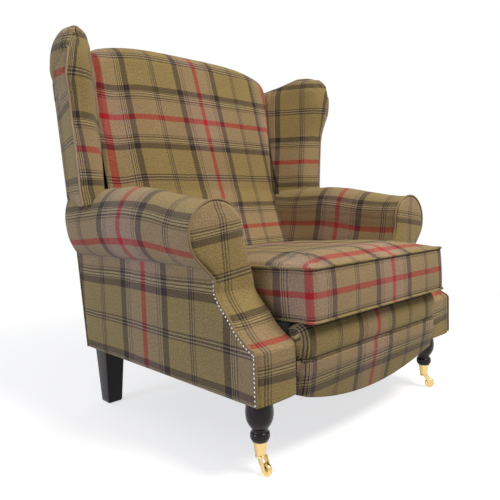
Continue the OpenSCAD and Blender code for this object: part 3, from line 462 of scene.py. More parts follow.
arm_h, arm_rise, scroll_r, scroll_in = 576, 38, 73, 9
base_w = 792
wing_w, wing_foot_w, wing_depth, wing_reach, wing_top, wing_roll = 1018, 958, 165, 31, 1027, 30
wing_rear_out, wing_rear_flare, wing_edge_r = 10, 7, 14
base_half = base_w / 2
scroll_x, scroll_z, roll_foot_z = base_half - scroll_in, arm_h - scroll_r, arm_h - 2 * scroll_r
wing_slope_z = arm_h + arm_rise
wing_bow_z, wing_reach_z, wing_top_z = wing_top - 1.5 * wing_t, wing_top - 3.35 * wing_t, wing_top - wing_t
SIDES = {"left": -1, "right": 1}


def curve(xs, ys):
    """Smooth curve through given points that never overshoots them, as a function."""
    xs, ys = np.asarray(xs, float), np.asarray(ys, float)
    h, d = np.diff(xs), np.diff(ys) / np.diff(xs)
    m = np.zeros_like(ys)
    m[0], m[-1] = d[0], d[-1]
    for i in range(1, len(xs) - 1):
        if d[i - 1] * d[i] > 0:
            w1, w2 = 2 * h[i] + h[i - 1], h[i] + 2 * h[i - 1]
            m[i] = (w1 + w2) / (w1 / d[i - 1] + w2 / d[i])

    def f(x):
        x = np.clip(np.asarray(x, float), xs[0], xs[-1])
        i = np.clip(np.searchsorted(xs, x, "right") - 1, 0, len(xs) - 2)
        t = (x - xs[i]) / h[i]
        return ((1 + 2 * t) * (1 - t) ** 2 * ys[i] + t * (1 - t) ** 2 * h[i] * m[i]
                + t * t * (3 - 2 * t) * ys[i + 1] + t * t * (t - 1) * h[i] * m[i + 1])
    return f


wing_fall = curve([0, 0.025, 0.085, 0.15, 0.25, 0.335, 0.425, 0.5, 0.75, 1],
                  [0.71, 0.37, 0.157, 0.057, 0.014, 0.135, 0.313, 0.427, 0.57, 0.71])


def wing_crest(s):
    return wing_top - wing_t * wing_fall(s)


def wing_front_y(z):
    return front_y + base_d - wing_depth - wing_reach * smooth((z - wing_reach_z) / (wing_top_z - wing_reach_z))


def wing_edge_x(z):
    rise = np.clip((z - wing_slope_z) / (wing_top_z - wing_slope_z), 0, 1)
    return wing_foot_w / 2 + (wing_w - wing_foot_w) / 2 * rise ** 1.3


def wing_rear_x(z):
    return base_half + wing_rear_out + wing_rear_flare * np.clip((z - arm_h) / (chair_h - arm_h), 0, 1)


def wing_y(s, z):
    y0, y1, y2 = wing_front_y(z), back_front_y(z), back_inside_y(z) - fit
    return np.where(s <= 0.5, y0 + (y1 - y0) * s * 2, y1 + (y2 - y1) * (s * 2 - 1))


def corner_in(d, r):
    return np.where(d >= r, 0, r - np.sqrt(np.maximum(r * r - (r - np.minimum(d, r)) ** 2, 0)))


def wing_swell(s, z):
    return wing_roll * np.exp(-((z - wing_bow_z) / (wing_t * 0.75)) ** 2) * np.exp(-((s - 0.27) / 0.25) ** 2)


def wing_outer_x(s, z):
    y0, y2, y, edge = wing_front_y(z), back_inside_y(z) - fit, wing_y(s, z), wing_edge_x(z)
    flat = edge + (wing_rear_x(z) - edge) * (y - y0) / (y2 - y0)
    return flat - corner_in(y - y0, wing_edge_r) + wing_swell(s, z)


def wing_inner_x(s, z):
    side_x, y0, t = back_half + fit, wing_front_y(z), np.clip(s * 2, 0, 1)
    thin = wing_t * (1 - 0.14 * smooth((z - arm_h) / (wing_bow_z - arm_h)))
    edge = wing_edge_x(z) - thin
    return np.where(s >= 0.5, side_x, edge + (side_x - edge) * (0.8 + 0.2 * t) * t
                    + corner_in(wing_y(s, z) - y0, wing_t / 2))


def wing_drop(s, outer):
    """How far below the crest the rolled top begins."""
    return wing_t * (1.45 - 0.7 * s if outer else 0.8)


def wing_peak(s):
    """Where across the wing the rolled top is highest."""
    inner = wing_inner_x(s, wing_crest(s) - wing_drop(s, False))
    return inner + (wing_outer_x(s, wing_crest(s) - wing_drop(s, True)) - inner) * peak_share


def wing_side(s, outer):
    """Line up one side of the wing at a share s of the way back, from the arm to the crest."""
    reach = wing_outer_x if outer else wing_inner_x
    drop, peak = wing_drop(s, outer), wing_peak(s)
    z0 = wing_crest(s) - drop
    foot_x = float(reach(s, arm_h + 30.0))
    lift = math.sqrt(max(0, 1 - min(1, abs(foot_x - scroll_x) / scroll_r) ** 2)) * (scroll_r + arm_rise / 2)
    foot = max(arm_h - 8, scroll_z + arm_rise / 2 + lift - 9)
    z = np.concatenate([np.linspace(foot, z0, 76, endpoint=False),
                        z0 + drop * np.sin(np.linspace(0, PI / 2, 26))])
    t = np.clip((z - z0) / drop, 0, 1)
    x = peak + (reach(s, np.minimum(z, z0)) - peak) * np.sqrt(1 - t * t)
    if outer:
        x = x - 6 * (1 - smooth((z - foot) / 46)) * (x > scroll_x + scroll_r - 20)
    return join(x, wing_y(s, z), z)


def flap_z(y):
    """The slanting stitched line, where the outside cloth is turned over the rolled top."""
    return line(y, [128, 175, 212, 250, 300], [955, 915, 884, 874, 874])


def wing_cloth(run, z, plumb_at=None):
    """The warp is measured along the cloth from the piping, or from a line that hangs plumb."""
    u = 0.257 + (run - 40) / sett if plumb_at is None else 0.515 + (run - plumb_at) / 365
    return join(u, line(z, [630, 652, 713, 775, 796, 899, 1000], [-0.2435, -0.18, 0, 0.18, 0.2435, 0.5, 0.78]))


def wing_cloth_outside(p):
    return join(0.27 + (p[..., 1] - 115) / 950,
                line(p[..., 2], [611, 633, 738, 823, 844, 899], [-0.82, -0.7565, -0.5, -0.2435, -0.18, 0]))


gather_at = np.array([478, 128, 962.0])  # gathers fan out from this front corner of the rolled top
corner_n = 4  # lines that lie round the outer front corner
steps = np.concatenate([0.142 * (1 - np.cos(np.linspace(0, PI / 2, 11)[:-1])), np.linspace(0.142, 0.5, 26)[:-1],
                        np.linspace(0.5, 1, 17)])
share = steps[:, None]
for side, sign in SIDES.items():
    inner, outer = (np.array([wing_side(s, out) for s in steps]) for out in (False, True))
    for part in (inner, outer):
        gap = part - gather_at
        far = np.linalg.norm(gap, axis=-1)
        turn = np.arctan2(gap[..., 2], np.abs(gap[..., 1]) + 0.6 * np.abs(gap[..., 0]))
        fold = np.sin(turn * 11 + 0.6) * np.exp(-((far - 46) / 34) ** 2) * smooth((part[..., 2] - 950) / 40)
        part[..., 2] += 2.3 * fold
        part[..., 1] -= 1.5 * fold * np.exp(-(gap[..., 1] / 30) ** 2)
    inner[..., 0] += 1.2 * waves(inner, 130, 7) * smooth((share - 0.05) / 0.2) * (share < 0.5)
    over_flap = outer[..., 2] - flap_z(outer[..., 1])
    flap = 2.8 * smooth(over_flap / 3 + 0.5) * smooth((wing_crest(0.25) - outer[..., 2]) / 30)
    outer[..., 0] += (flap - 2.0 * np.exp(-((over_flap + 3) / 3.5) ** 2)) * smooth(share / 0.03)
    corner_run = run_along(outer[corner_n - 1::-1])[::-1]
    nose_run = np.linalg.norm(outer[0] - inner[0], axis=-1)
    run = corner_run[0] + nose_run + run_along(inner)
    plumb_at = None
    if side == "right":
        plumb_at = np.array([np.interp(177.5, ys, along) for ys, along in zip(inner[..., 1].T, run.T)])
    uv_out = wing_cloth_outside(outer)
    over_top = join(0.55 + (outer[..., 1] - 150) / 360, 1.05 + (wing_top - outer[..., 2]) / sett)
    mid = (outer[:-1, :-1] + outer[1:, 1:]) / 2
    turned_over = mid[..., 2] > flap_z(mid[..., 1])
    uv_corner = uv_out.copy()
    uv_corner[:corner_n] = wing_cloth(corner_run, outer[:corner_n, :, 2], plumb_at)
    round_corner = np.zeros_like(turned_over)
    round_corner[:corner_n - 1] = True
    nose = np.linspace(0, 1, 9)[:, None]
    front = inner[0] * (1 - nose[..., None]) + outer[0] * nose[..., None]
    front[..., 1] -= 3.2 * np.sin(PI * nose)
    uv_front = wing_cloth(corner_run[0] + (1 - nose) * nose_run, front[..., 2], plumb_at)
    for part in (inner, outer, front):
        part[..., 0] *= sign
    skin = Skin()
    skin.grid(inner, wing_cloth(run, inner[..., 2], plumb_at))
    skin.grid(outer, uv_out, others=[(uv_corner, round_corner), (over_top, turned_over)])
    skin.grid(front, uv_front)
    skin.zip(np.concatenate([inner[-1], outer[-1][::-1]]))
    skin.zip(np.concatenate([inner[:, 0][::-1], front[1:-1, 0], outer[:, 0]]))
    cover = skin.build(f"wing_cover_{side}", wool, [f"wing_{side}"], weld=0.05)


# ------------------------------------------------------------------ piping
# A cotton cord in a bias strip of the same wool, sewn into the seams of the wings' front edge, the
# arm fronts, the front border and the cushion.

cord_r = 3.0


def unit(v):
    return v / np.linalg.norm(v, axis=-1)[..., None]


def resample(path, step, closed):
    path = np.vstack([path, path[:1]]) if closed else path
    d = run_along(path)
    s = np.linspace(0, d[-1], max(4, int(round(d[-1] / step))) + 1)[:-1 if closed else None]
    return np.stack([np.interp(s, d, path[:, k]) for k in range(3)], 1), s


def pipe(skin, path, ref, cloth, r=cord_r, closed=False, taper=False):
    """Piping along a path, with the slight swell of its stitches; ref is a direction it never takes."""
    pts, s = resample(path, 3.4, closed)
    t = unit(np.roll(pts, -1, 0) - np.roll(pts, 1, 0) if closed else np.gradient(pts, axis=0))
    a = unit(np.cross(t, np.asarray(ref, float)))
    b = np.cross(t, a)
    rr = r * (1 + 0.03 * np.sin(s * 2 * PI / 8.5) + 0.02 * np.sin(s * 2 * PI / 23.0))
    if taper:
        rr *= np.clip(np.minimum(s, s[-1] - s) / 8 + 0.35, 0, 1) ** 0.6
    turn = np.linspace(0, 2 * PI, 12, endpoint=False)[None, :, None]
    ring = pts[:, None] + rr[:, None, None] * (np.cos(turn) * a[:, None] + np.sin(turn) * b[:, None])
    around = np.append(turn, 2 * PI) * r / sett
    u0, v0 = cloth(pts) if callable(cloth) else cloth
    uv = join(np.reshape(u0, (-1, 1)) + 0.3 * around, np.reshape(v0, (-1, 1)) - around)
    uv = uv + np.zeros((len(pts), 1, 1))
    if closed:
        skin.grid(np.vstack([ring, ring[:1]]), np.vstack([uv, uv[:1]]), wrap=True)
    else:
        skin.shell(ring, uv, fans=True)


for side, sign in SIDES.items():
    path = wing_side(steps[3], True) + (0.8, -0.8, 0)
    skin = Skin()
    pipe(skin, path[path[:, 2] < 957] * (sign, 1, 1), (1, 0.3, 0), (0.09, 0.10), taper=True)
    skin.build(f"wing_piping_{side}", wool, slot="wool_piping")


# ------------------------------------------------------------------ the arms
# Each arm's inner wall, scroll and overhang are one padded cover. It starts in the piped seam of
# the arm front, rises towards the wing, and dies into the back under the wing.

arm_w, arm_setback, knee_z, waist_z, facing_t, arm_wall = 116, 116, 272, 382, 24, 60
inner_x = base_half - arm_w
frame_x = base_half - panel_t - fit
outer_waist_z = roll_foot_z - facing_t * 0.8
arm_top_y = front_y + arm_setback
wall_n, roll_n, tuck_n = 46, 76, 40  # points up the inner wall, round the scroll and down inside
round_scroll = np.radians(np.linspace(180, -88, roll_n))
ramp = curve([0, 0.04, 0.12, 0.27, 0.55, 0.92, 1], [0, 0.03, 0.18, 0.39, 0.635, 0.96, 1])
inner_edge = curve([floor_gap, knee_z, waist_z, 440, 478, scroll_z, arm_h],
                   [inner_x, inner_x, inner_x + 3, inner_x + 17, inner_x + 30, scroll_x - scroll_r, scroll_x])


def arm_front_y(z):
    return front_y + arm_setback * ramp((z - knee_z) / (waist_z - knee_z))


def arm_outline(s):
    """The arm's section at a share s of the way back: inner wall, scroll, and its tuck underneath."""
    z = np.concatenate([np.linspace(deck_z0 - 4, waist_z, 26)[:-1], np.linspace(waist_z, scroll_z, 22)[:-1]])
    r = scroll_r - 0.6
    roll = join(scroll_x + r * np.cos(round_scroll), scroll_z + r * np.sin(round_scroll))
    roof = roll_foot_z + 24
    inside = join(inner_x + arm_wall, np.linspace(roof, deck_z0 - 4, tuck_n))
    x, z = np.concatenate([join(inner_edge(z), z), roll, [[frame_x + fit, roof]], inside]).T
    over = np.sqrt(1 - np.clip((s - 0.76) / 0.24, 0, 1) ** 2 * 0.98)
    lift = 1 + arm_rise / (2 * scroll_r) * smooth(s * 2.1)
    z = np.where(z > roll_foot_z, roll_foot_z + (z - roll_foot_z) * lift, z)
    x = np.where(x > base_half, base_half + (x - base_half) * over, x)
    y0, y1 = arm_front_y(z) + 4.5, back_inside_y(z) - 2 * fit
    return join(x, y0 + (y1 - y0) * s, z)


def arm_cloth(p, angle, down, sign):
    """Warp runs along the arm. Weft is measured round the scroll from the low outer red line."""
    y = p[..., 1]
    u = 1 + y / np.where(y < 0, 400.0, 415.0)
    if sign > 0:
        u = line(y, [-229, -136, -51, 28, 141], [1.485, 1.222, 1.0, 0.778, 0.515])
        down = down + np.interp(y, [-270, -50, 200], [40, 26, 11])
    low = np.interp(y, [-264, -132, -3, 114, 262], np.radians([-32.8, -24.4, -24.4, -27.2, -34.4]))
    return join(u, (angle - low) * np.interp(y, [-280, 20], [73, 81]) / 340 + down / sett)


shares = np.concatenate([[0, 0.004, 0.009, 0.015], np.linspace(0.022, 0.76, 84)[:-1], np.linspace(0.76, 1, 34)])
angle = np.concatenate([np.full(wall_n, PI), round_scroll, np.full(tuck_n + 1, round_scroll[-1])])
outward = join(np.cos(angle), np.sin(angle))
covered = slice(wall_n + roll_n)
for side, sign in SIDES.items():
    rings = np.array([arm_outline(s) for s in shares])
    down = np.zeros(rings.shape[:2])
    down[:, :wall_n] = np.maximum(0, rings[:, wall_n:wall_n + 1, 2] - rings[:, :wall_n, 2])
    # the cover is drawn down into the front seam, and the wadding gives it slow swells
    move = (1.5 * waves(rings, 120, 11) + 0.6 * waves(rings, 45, 12)) * smooth(shares[:, None] / 0.05)
    move[:4] -= np.array([3.0, 1.6, 0.7, 0.2])[:, None]
    move *= smooth((rings[..., 2] - 330) / 60)
    rings[:, covered, ::2] += (move[..., None] * outward)[:, covered]
    # behind the arm front the cover is turned in, over the frame
    tucked = rings[:1].copy()
    tucked[:, covered, ::2] -= 3.0 * outward[covered]
    turned_in = tucked.copy()
    turned_in[..., 1] = arm_top_y + 30
    rings = np.concatenate([turned_in, tucked, rings])
    down = np.concatenate([down[:1], down[:1], down])
    skin = Skin()
    skin.shell(rings * (sign, 1, 1), arm_cloth(rings, angle, down, sign))
    cover = skin.build(f"arm_cover_{side}", wool, [f"arm_pad_{side}"], weld=0.05)


# ------------------------------------------------------------------ the arm fronts
# A padded facing follows the front of each arm from the base, over the slope, to the scroll. Its
# inner edge is a plain fold, and its outer edge is sewn to the arm cover with piping.

slope_z = np.linspace(floor_gap, arm_h, 700)
slope_run = run_along(join(slope_z, arm_front_y(slope_z)))
neck_a = math.radians(-50)
cloth_stretch = 387


def outer_edge(z):
    """Outer edge of the arm front: straight up the base, then out round the scroll."""
    a = np.arcsin(np.clip((z - scroll_z) / scroll_r, -1, 1))
    z0, z1 = outer_waist_z, scroll_z + scroll_r * math.sin(neck_a)
    x1 = scroll_x + scroll_r * math.cos(neck_a)
    slant = np.interp(z, (z0, z1), [base_half, x1])
    slant = slant - 2.2 * np.sin(PI * np.clip((z - z0 + 12) / (z1 - z0 + 24), 0, 1))
    return np.where(z < z1, np.where(z < z0 - 12, base_half, np.minimum(slant, x1)),
                    scroll_x + scroll_r * np.cos(a))


def facing_inner(z):
    a = np.arcsin(np.clip((z - scroll_z) / scroll_r, 0, 1))
    return np.where(z < scroll_z, inner_edge(z), scroll_x - scroll_r * np.cos(a))


def facing_cloth(x, z):
    """Weft is measured down the slope, and leans; below the base's red line it runs back."""
    start, end = np.interp([417, 216], slope_z, slope_run)
    t = np.clip((x - inner_x) / arm_w, 0, 1.5)
    tilt = np.interp(z, [216, 284, 334, 417, 520], [-8, 0, 8, 14, 16]) * (0.62 - t)
    v = line(start - np.interp(z, slope_z, slope_run) + tilt, [-103, -83, 0, 98, 172, start - end],
             [0.18, 0.2435, 0.5, 0.7565, 1.0, 1.2435])
    middle = np.interp(z, [174, 244, 282, 326, 401, 467, 531, 563], [365, 362, 364, 360, 359, 365, 369, 380])
    return join(0.5 + (x - middle) / cloth_stretch, 0.07 + np.abs(v - 0.07))


front_z = np.concatenate([np.linspace(floor_gap + 1, scroll_z, 120)[:-1],
                          scroll_z + scroll_r * np.sin(np.linspace(0, PI / 2, 34))])
across = np.concatenate([[0, 0.006, 0.016, 0.032, 0.055, 0.09, 0.14, 0.2], np.linspace(0.27, 0.73, 10),
                         [0.8, 0.86, 0.91, 0.945, 0.968, 0.984, 0.994, 1]])
for side, sign in SIDES.items():
    x0, x1, zs = facing_inner(front_z)[:, None], outer_edge(front_z)[:, None], front_z[:, None]
    xs = x0 + (x1 - x0) * across
    d_top = np.where(zs > scroll_z, np.maximum(scroll_r - np.hypot(xs - scroll_x, zs - scroll_z), 0), 99)
    d_in, d_out = np.minimum(xs - x0, d_top), np.minimum(x1 - xs, d_top)
    near_top = smooth((zs - scroll_z) / 60 + 1)
    fold = (9 - np.sqrt(np.maximum(81 - (9 - np.minimum(d_in, 9)) ** 2, 0))) * (1 - near_top)
    fold = np.maximum(fold, 4.2 * (1 - smooth(d_in / 11)) ** 1.5 * near_top)
    seam = 4.2 * (1 - smooth(d_out / 11)) ** 1.5
    puff = 3.2 * smooth(d_in / 34) * smooth(d_out / 34)
    front = join(xs, arm_front_y(zs) + np.maximum(fold, seam) - puff, zs)
    front[..., 1] += 0.5 * waves(front, 60, 21)
    uv = facing_cloth(xs, zs)
    depth = np.array([0.25, 0.5, 0.75, 1.0])[:, None]
    lean = 4.5 * smooth((front_z - 440) / 30)
    walls = []
    for k, turn, thick in ((0, 1, 15 - 11 * near_top[:, 0]), (-1, -1, 5.0)):
        x, y, z = front[:, k].T
        walls.append((join(x + turn * (0.4 + lean * depth), y + depth * thick, z),
                      uv[:, k] - join(turn * depth * thick / cloth_stretch, 0)))
    (wall_in, uv_in), (wall_out, uv_out) = walls
    behind = np.linspace(wall_out[-1], wall_in[-1], 5)[1:-1]
    ring = np.concatenate([front.transpose(1, 0, 2), wall_out, behind, wall_in[::-1]]).transpose(1, 0, 2)
    ring_uv = np.concatenate([uv.transpose(1, 0, 2), uv_out, 0 * behind[..., :2], uv_in[::-1]]).transpose(1, 0, 2)
    ring = ring * (sign, 1, 1)
    skin = Skin()
    skin.grid(ring, ring_uv, wrap=True)
    skin.fan(ring[0], ring_uv[0])
    pad = skin.build(f"arm_front_{side}", wool, [f"arm_facing_{side}"], weld=0.05)

    off, r = cord_r + fit, scroll_r + cord_r + fit - 2.7
    up = np.linspace(floor_gap + 2, waist_z + 26, 70)
    a = np.radians(np.linspace(-46, 176, 90))
    down = np.linspace(scroll_z - 4, 418, 44)
    rise = join(base_half + off - 1.2, arm_front_y(up) + 2.2, up)
    scroll = join(scroll_x + r * np.cos(a), arm_top_y + 3.0 + 7.5 * smooth((a - 1.7) / 1.2),
                  scroll_z + r * np.sin(a))
    neck = (rise[-1] + scroll[0]) / 2 + (-1.5, 0, -1.0)
    path = np.vstack([rise, neck, scroll, join(inner_edge(down) + 0.6, arm_top_y + 10.5, down)])
    skin = Skin()
    pipe(skin, path * (sign, 1, 1), (0, 1, 0.001), (0.31, 0.12), r=2.8, taper=True)
    skin.build(f"arm_piping_{side}", wool, [f"facing_piping_{side}"], slot="wool_piping")


# ------------------------------------------------------------------ the outside arms
# One flat piece of wool over card and thin wadding, blind-sewn under the scroll, tacked under the
# base and closed at its front edge with decorative nails.

for side, sign in SIDES.items():
    zs = np.linspace(floor_gap - 0.5, roll_foot_z + 12, 96)[:, None]
    q = np.concatenate([[0, 0.004, 0.012, 0.026, 0.05], np.linspace(0.08, 0.97, 84), [0.985, 0.995, 1]])
    y0, y1 = arm_front_y(zs) + 4.4, back_inside_y(zs) - 1.0
    ys = y0 + (y1 - y0) * q
    d = np.minimum(np.minimum(ys - y0, y1 - ys), np.minimum(zs - zs[0], 200))
    outer = join(base_half + 0.5 - 2.6 * (1 - smooth(d / 9)) + 1.6 * smooth(d / 90), ys, zs)
    outer[..., 0] += 0.9 * waves(outer, 170, 31) * smooth(d / 60)
    inner = outer.copy()
    inner[..., 0] = base_half - panel_t
    u = np.where(ys < -2.6, (ys + 401.6) / 399, 1 + (ys + 2.6) / 427)
    v = line(zs, [181, 269, 368, 394], [0.757, 0.5, 0.243, 0.18]) + 0.004 * np.sin(ys / 60)
    skin = Skin()
    skin.panel(outer * (sign, 1, 1), inner * (sign, 1, 1), join(u, v))
    skin.build(f"outside_arm_cover_{side}", wool, [f"outside_arm_{side}"])


# ------------------------------------------------------------------ the outside back
# A flat sheet of wool over the back frame, slip-stitched up both sides and along the top, and
# tacked under the base.

rear_drop = wing_drop(1.0, True)
shoulder_z = wing_crest(1.0) - rear_drop
shoulder = wing_rear_x(shoulder_z)


def panel_top(x):
    """Top of the outside back: under the crest's roll, then out over the wings' rear ends."""
    peak = wing_peak(1.0)
    t = np.clip((np.abs(x) - peak) / (wing_outer_x(1.0, shoulder_z) - peak), 0, 1)
    over_wing = wing_crest(1.0) - rear_drop * (1 - np.sqrt(1 - t * t)) - fit
    return np.where(np.abs(x) <= back_half, crest_z(x) - wing_t / 2, over_wing)


up = np.concatenate([[0, 0.003, 0.01, 0.02], np.linspace(0.035, 0.98, 90), [0.99, 0.997, 1]])[:, None]
across = mirrored(np.concatenate([np.linspace(0, 0.86, 44), 1 - 0.14 * (1 - np.linspace(0, 1, 20)[1:]) ** 1.8]))
zs = floor_gap - 0.5 + (panel_top(across * shoulder) - floor_gap) * up
edge = np.interp(zs, [floor_gap, roll_foot_z, arm_h, wing_crest(1.0)],
                 [base_half, base_half, base_half + 10, shoulder])
xs = across * edge
d = np.minimum((1 - np.abs(across)) * edge, np.minimum((1 - up) * 800, up * 800))
outer = join(xs, rear_y(zs) + 0.4 + 2.4 * smooth(d / 120) - 2.2 * (1 - smooth(d / 8)), zs)
outer[..., 1] += 1.0 * waves(outer, 190, 41) * smooth(d / 60)
skin = Skin()
skin.panel(outer, join(xs, rear_y(zs) - panel_t / math.cos(rake), zs),
           join(1 + xs / sett, line(zs, [166, 516, 866], [1.0, 0, -1.0])))
skin.build("outside_back_cover", wool, ["outside_back"])


# ------------------------------------------------------------------ the decorative nails
# Domed pewter nails, driven one beside the next through the front edge of each outside arm, from
# under the scroll's neck down to the base.

nail_count, nail_r = 34, 2.8


def row_tree(name, shape):
    """A tree that sets one small shape after another along a path of edges."""
    tree = bpy.data.node_groups.new(name, "GeometryNodeTree")
    face = tree.interface
    face.new_socket("Geometry", in_out="INPUT", socket_type="NodeSocketGeometry")
    for label, kind in (("Spacing", "Float"), ("Size", "Vector"), ("Up", "Vector"), ("Turn", "Float"),
                        ("Unevenness", "Float"), ("Seed", "Int"), ("Material", "Material")):
        face.new_socket(label, in_out="INPUT", socket_type="NodeSocket" + kind)
    face.new_socket("Geometry", in_out="OUTPUT", socket_type="NodeSocketGeometry")
    given = tree.nodes.new("NodeGroupInput").outputs

    def step(kind, inputs=None, **props):
        return put(tree, kind, inputs, **props).outputs[0]

    path = step("GeometryNodeMeshToCurve", {"Mesh": given["Geometry"]})
    spots = step("GeometryNodeResampleCurve", {"Curve": path, "Length": given["Spacing"]}, mode="LENGTH")
    face_up = step("FunctionNodeAlignRotationToVector", {"Vector": given["Up"]}, axis="Z")
    lie = step("FunctionNodeAlignRotationToVector", {"Rotation": face_up, "Vector": step("GeometryNodeInputTangent")},
               axis="X", pivot_axis="Z")
    low = vector(tree, "MULTIPLY", {0: given["Unevenness"], 1: (-1, -1, -1)})
    shake = step("FunctionNodeRandomValue", {"Min": low, "Max": given["Unevenness"], "Seed": given["Seed"]},
                 data_type="FLOAT_VECTOR")
    turned = vector(tree, "ADD", {0: shake, 1: step("ShaderNodeCombineXYZ", {"Z": given["Turn"]})})
    spin = step("FunctionNodeRotateRotation", {"Rotation": lie, "Rotate By": step(
        "FunctionNodeEulerToRotation", {0: turned})}, rotation_space="LOCAL")
    if shape == "dome":
        one = step("GeometryNodeMeshUVSphere", {"Segments": 12, "Rings": 6, "Radius": 1.0})
    else:
        one = step("GeometryNodeMeshCylinder", {"Vertices": 6, "Side Segments": 3, "Radius": 1.0, "Depth": 2.0})
        one = step("GeometryNodeTransform", {"Geometry": one, "Rotation": (0, PI / 2, 0)})
        where = step("GeometryNodeInputPosition")
        x = step("ShaderNodeSeparateXYZ", {0: where})
        slim = calc(tree, "MULTIPLY", calc(tree, "POWER", calc(tree, "ABSOLUTE", x), 4.0), 0.55)
        slim = calc(tree, "SUBTRACT", 1.0, slim)
        thin = step("ShaderNodeCombineXYZ", {"X": 1.0, "Y": slim, "Z": slim})
        shaped = vector(tree, "MULTIPLY", {0: where, 1: thin})
        one = step("GeometryNodeSetPosition", {"Geometry": one, "Position": shaped})
    grown = step("GeometryNodeInstanceOnPoints", {"Points": spots, "Instance": one, "Rotation": spin,
                                                  "Scale": given["Size"]})
    real = step("GeometryNodeRealizeInstances", {"Geometry": grown})
    soft = step("GeometryNodeSetShadeSmooth", {"Geometry": real})
    done = step("GeometryNodeSetMaterial", {"Geometry": soft, "Material": given["Material"]})
    put(tree, "NodeGroupOutput", {0: done})
    return tree


def row(name, tree, path, spacing, size, up, mat, turn=0.0, uneven=0.0, seed=1, stands_for=(), body="chair",
        slot=None):
    """Lays the tree's shape along a path and keeps the result as a plain mesh."""
    path = np.asarray(path, float) * mm
    rail = bpy.data.meshes.new(name + "_path")
    rail.from_pydata(path.tolist(), [(i, i + 1) for i in range(len(path) - 1)], [])
    ob = bpy.data.objects.new(name + "_path", rail)
    bpy.context.scene.collection.objects.link(ob)
    work = ob.modifiers.new("row", "NODES")
    work.node_group = tree
    given = {"Spacing": spacing * mm, "Size": tuple(s * mm for s in size), "Up": up, "Turn": turn,
             "Unevenness": uneven, "Seed": seed, "Material": mat}
    for item in tree.interface.items_tree:
        if item.item_type == "SOCKET" and item.in_out == "INPUT" and item.name in given:
            work[item.identifier] = given[item.name]
    mesh = bpy.data.meshes.new_from_object(ob.evaluated_get(bpy.context.evaluated_depsgraph_get()))
    mesh.name = name
    bpy.data.objects.remove(ob)
    bpy.data.meshes.remove(rail)
    return place(name, mesh, mat, stands_for, body, slot)


def srgb(*rgb):
    """A colour given as 0 to 255, as the shader wants it."""
    return tuple((c / 255 / 12.92 if c <= 10 else ((c / 255 + 0.055) / 1.055) ** 2.4) for c in rgb) + (1,)


def metal(name, colour, rough, wear=0.10, grain=60.0):
    """Worked metal: a slight drift in colour, fine rubbing marks, and a soft unevenness."""
    mat, t = new_material(name)
    spot = put(t, "ShaderNodeTexCoord").outputs["Object"]
    drift, fine = noise(t, spot, grain, 4.0), noise(t, spot, grain * 14, 2.0)
    worn = tuple(c * (1 - wear * 2.2) for c in srgb(*colour)[:3]) + (1,)
    finished(t, {"Base Color": mixed(t, drift, worn, srgb(*colour)), "Metallic": 1.0,
                 "Roughness": calc(t, "MULTIPLY_ADD", drift, wear * 1.6, rough - wear * 0.8),
                 "Normal": relief(t, 0.12, 0.0003, calc(t, "ADD", drift, calc(t, "MULTIPLY", fine, 0.3)))})
    return mat


pewter = metal("pewter_nails", (196, 191, 184), 0.30, grain=300.0)
dome_row, stitch_row = row_tree("nails along a path", "dome"), row_tree("stitches along a path", "stitch")
nail_z = np.linspace(floor_gap + 2 * nail_r, roll_foot_z - facing_t, 400)
nail_path = join(arm_front_y(nail_z), nail_z)
along = unit(np.gradient(nail_path, axis=0))
nail_path = nail_path + (2 * cord_r + nail_r - 0.6) * along[:, ::-1] * (1, -1)
nail_gap = run_along(nail_path)[-1] / (nail_count - 1)
for side, sign in SIDES.items():
    path = join(sign * (base_half + 0.9), *nail_path.T)
    row(f"nails_{side}", dome_row, path, nail_gap, (nail_r, nail_r, 1.75), (sign, 0, 0), pewter, uneven=0.10,
        seed=5, stands_for=[f"nailheads_{side}"], slot="pewter_nails")


# ------------------------------------------------------------------ the front border and apron
# The border is a padded roll under the cushion. A piped seam joins it to the apron, which is cut
# in a shallow curve below and lined. Both are sewn to the arm fronts' inner edges.

seam_rise, border_bulge, apron_drop, cushion_t, seat_pitch = 70, 22, 52, 118, 2.2
fall = math.tan(math.radians(seat_pitch))
cushion_y0 = front_y - cushion_over
border_y, seam_z = front_y - border_bulge, floor_gap + seam_rise
post_y = front_y + facing_t


def deck_z(y):
    return seat_z - (y - cushion_y0) * fall - fit


def border_cloth(x, lower):
    at = [-250, -167.5, -87, -21, 46, 131, 212, 296] if lower else [-257, -164, -85, -12, 54, 136, 219, 300]
    return line(x, at, [0.2295, 0.515, 0.778, 1.0, 1.222, 1.485, 1.7705, 2.0])


def drawn_in(end):
    """1 at the border's sewn ends, falling to nothing in 20 mm."""
    return (1 - smooth(end / 20)) ** 1.3


across = mirrored(np.concatenate([np.linspace(0, 0.86, 50), 1 - 0.14 * (1 - np.linspace(0, 1, 22)[1:]) ** 1.8]))
xs = (across * (inner_x - fit))[:, None]
end = ((1 - np.abs(across)) * (inner_x - fit))[:, None]
roll_at = [0, 0.10, 0.22, 0.42, 0.63, 0.80, 0.92, 1.0]
roll_out = curve(roll_at, [5.5, 0.8, -2.2, -3.4, -1.0, 5.0, 12.5, 22.0])
roll_up = curve(roll_at, [0.0, 0.06, 0.20, 0.42, 0.66, 0.85, 0.95, 1.0])
t = np.linspace(0, 1, 44)
ys, zs = border_y + roll_out(t), seam_z + 0.8 + (deck_z(front_y) - fit - seam_z) * roll_up(t)
pull = 20 * drawn_in(end)
face = join(xs, ys + pull * (1 - 0.55 * t), zs - 0.55 * pull * t ** 2)
face[..., 1] += (1.0 * waves(face, 110, 51) + 0.5 * waves(face, 40, 52)) * smooth(end / 30)
uv = join(border_cloth(xs, False), 0.275 + run_along(join(ys, zs)) / sett)
behind = join(xs, post_y, seam_z + 0.8 + (deck_z(post_y) - fit - seam_z - 6 - 0.3 * pull) * np.linspace(1, 0, 6))
skin = Skin()
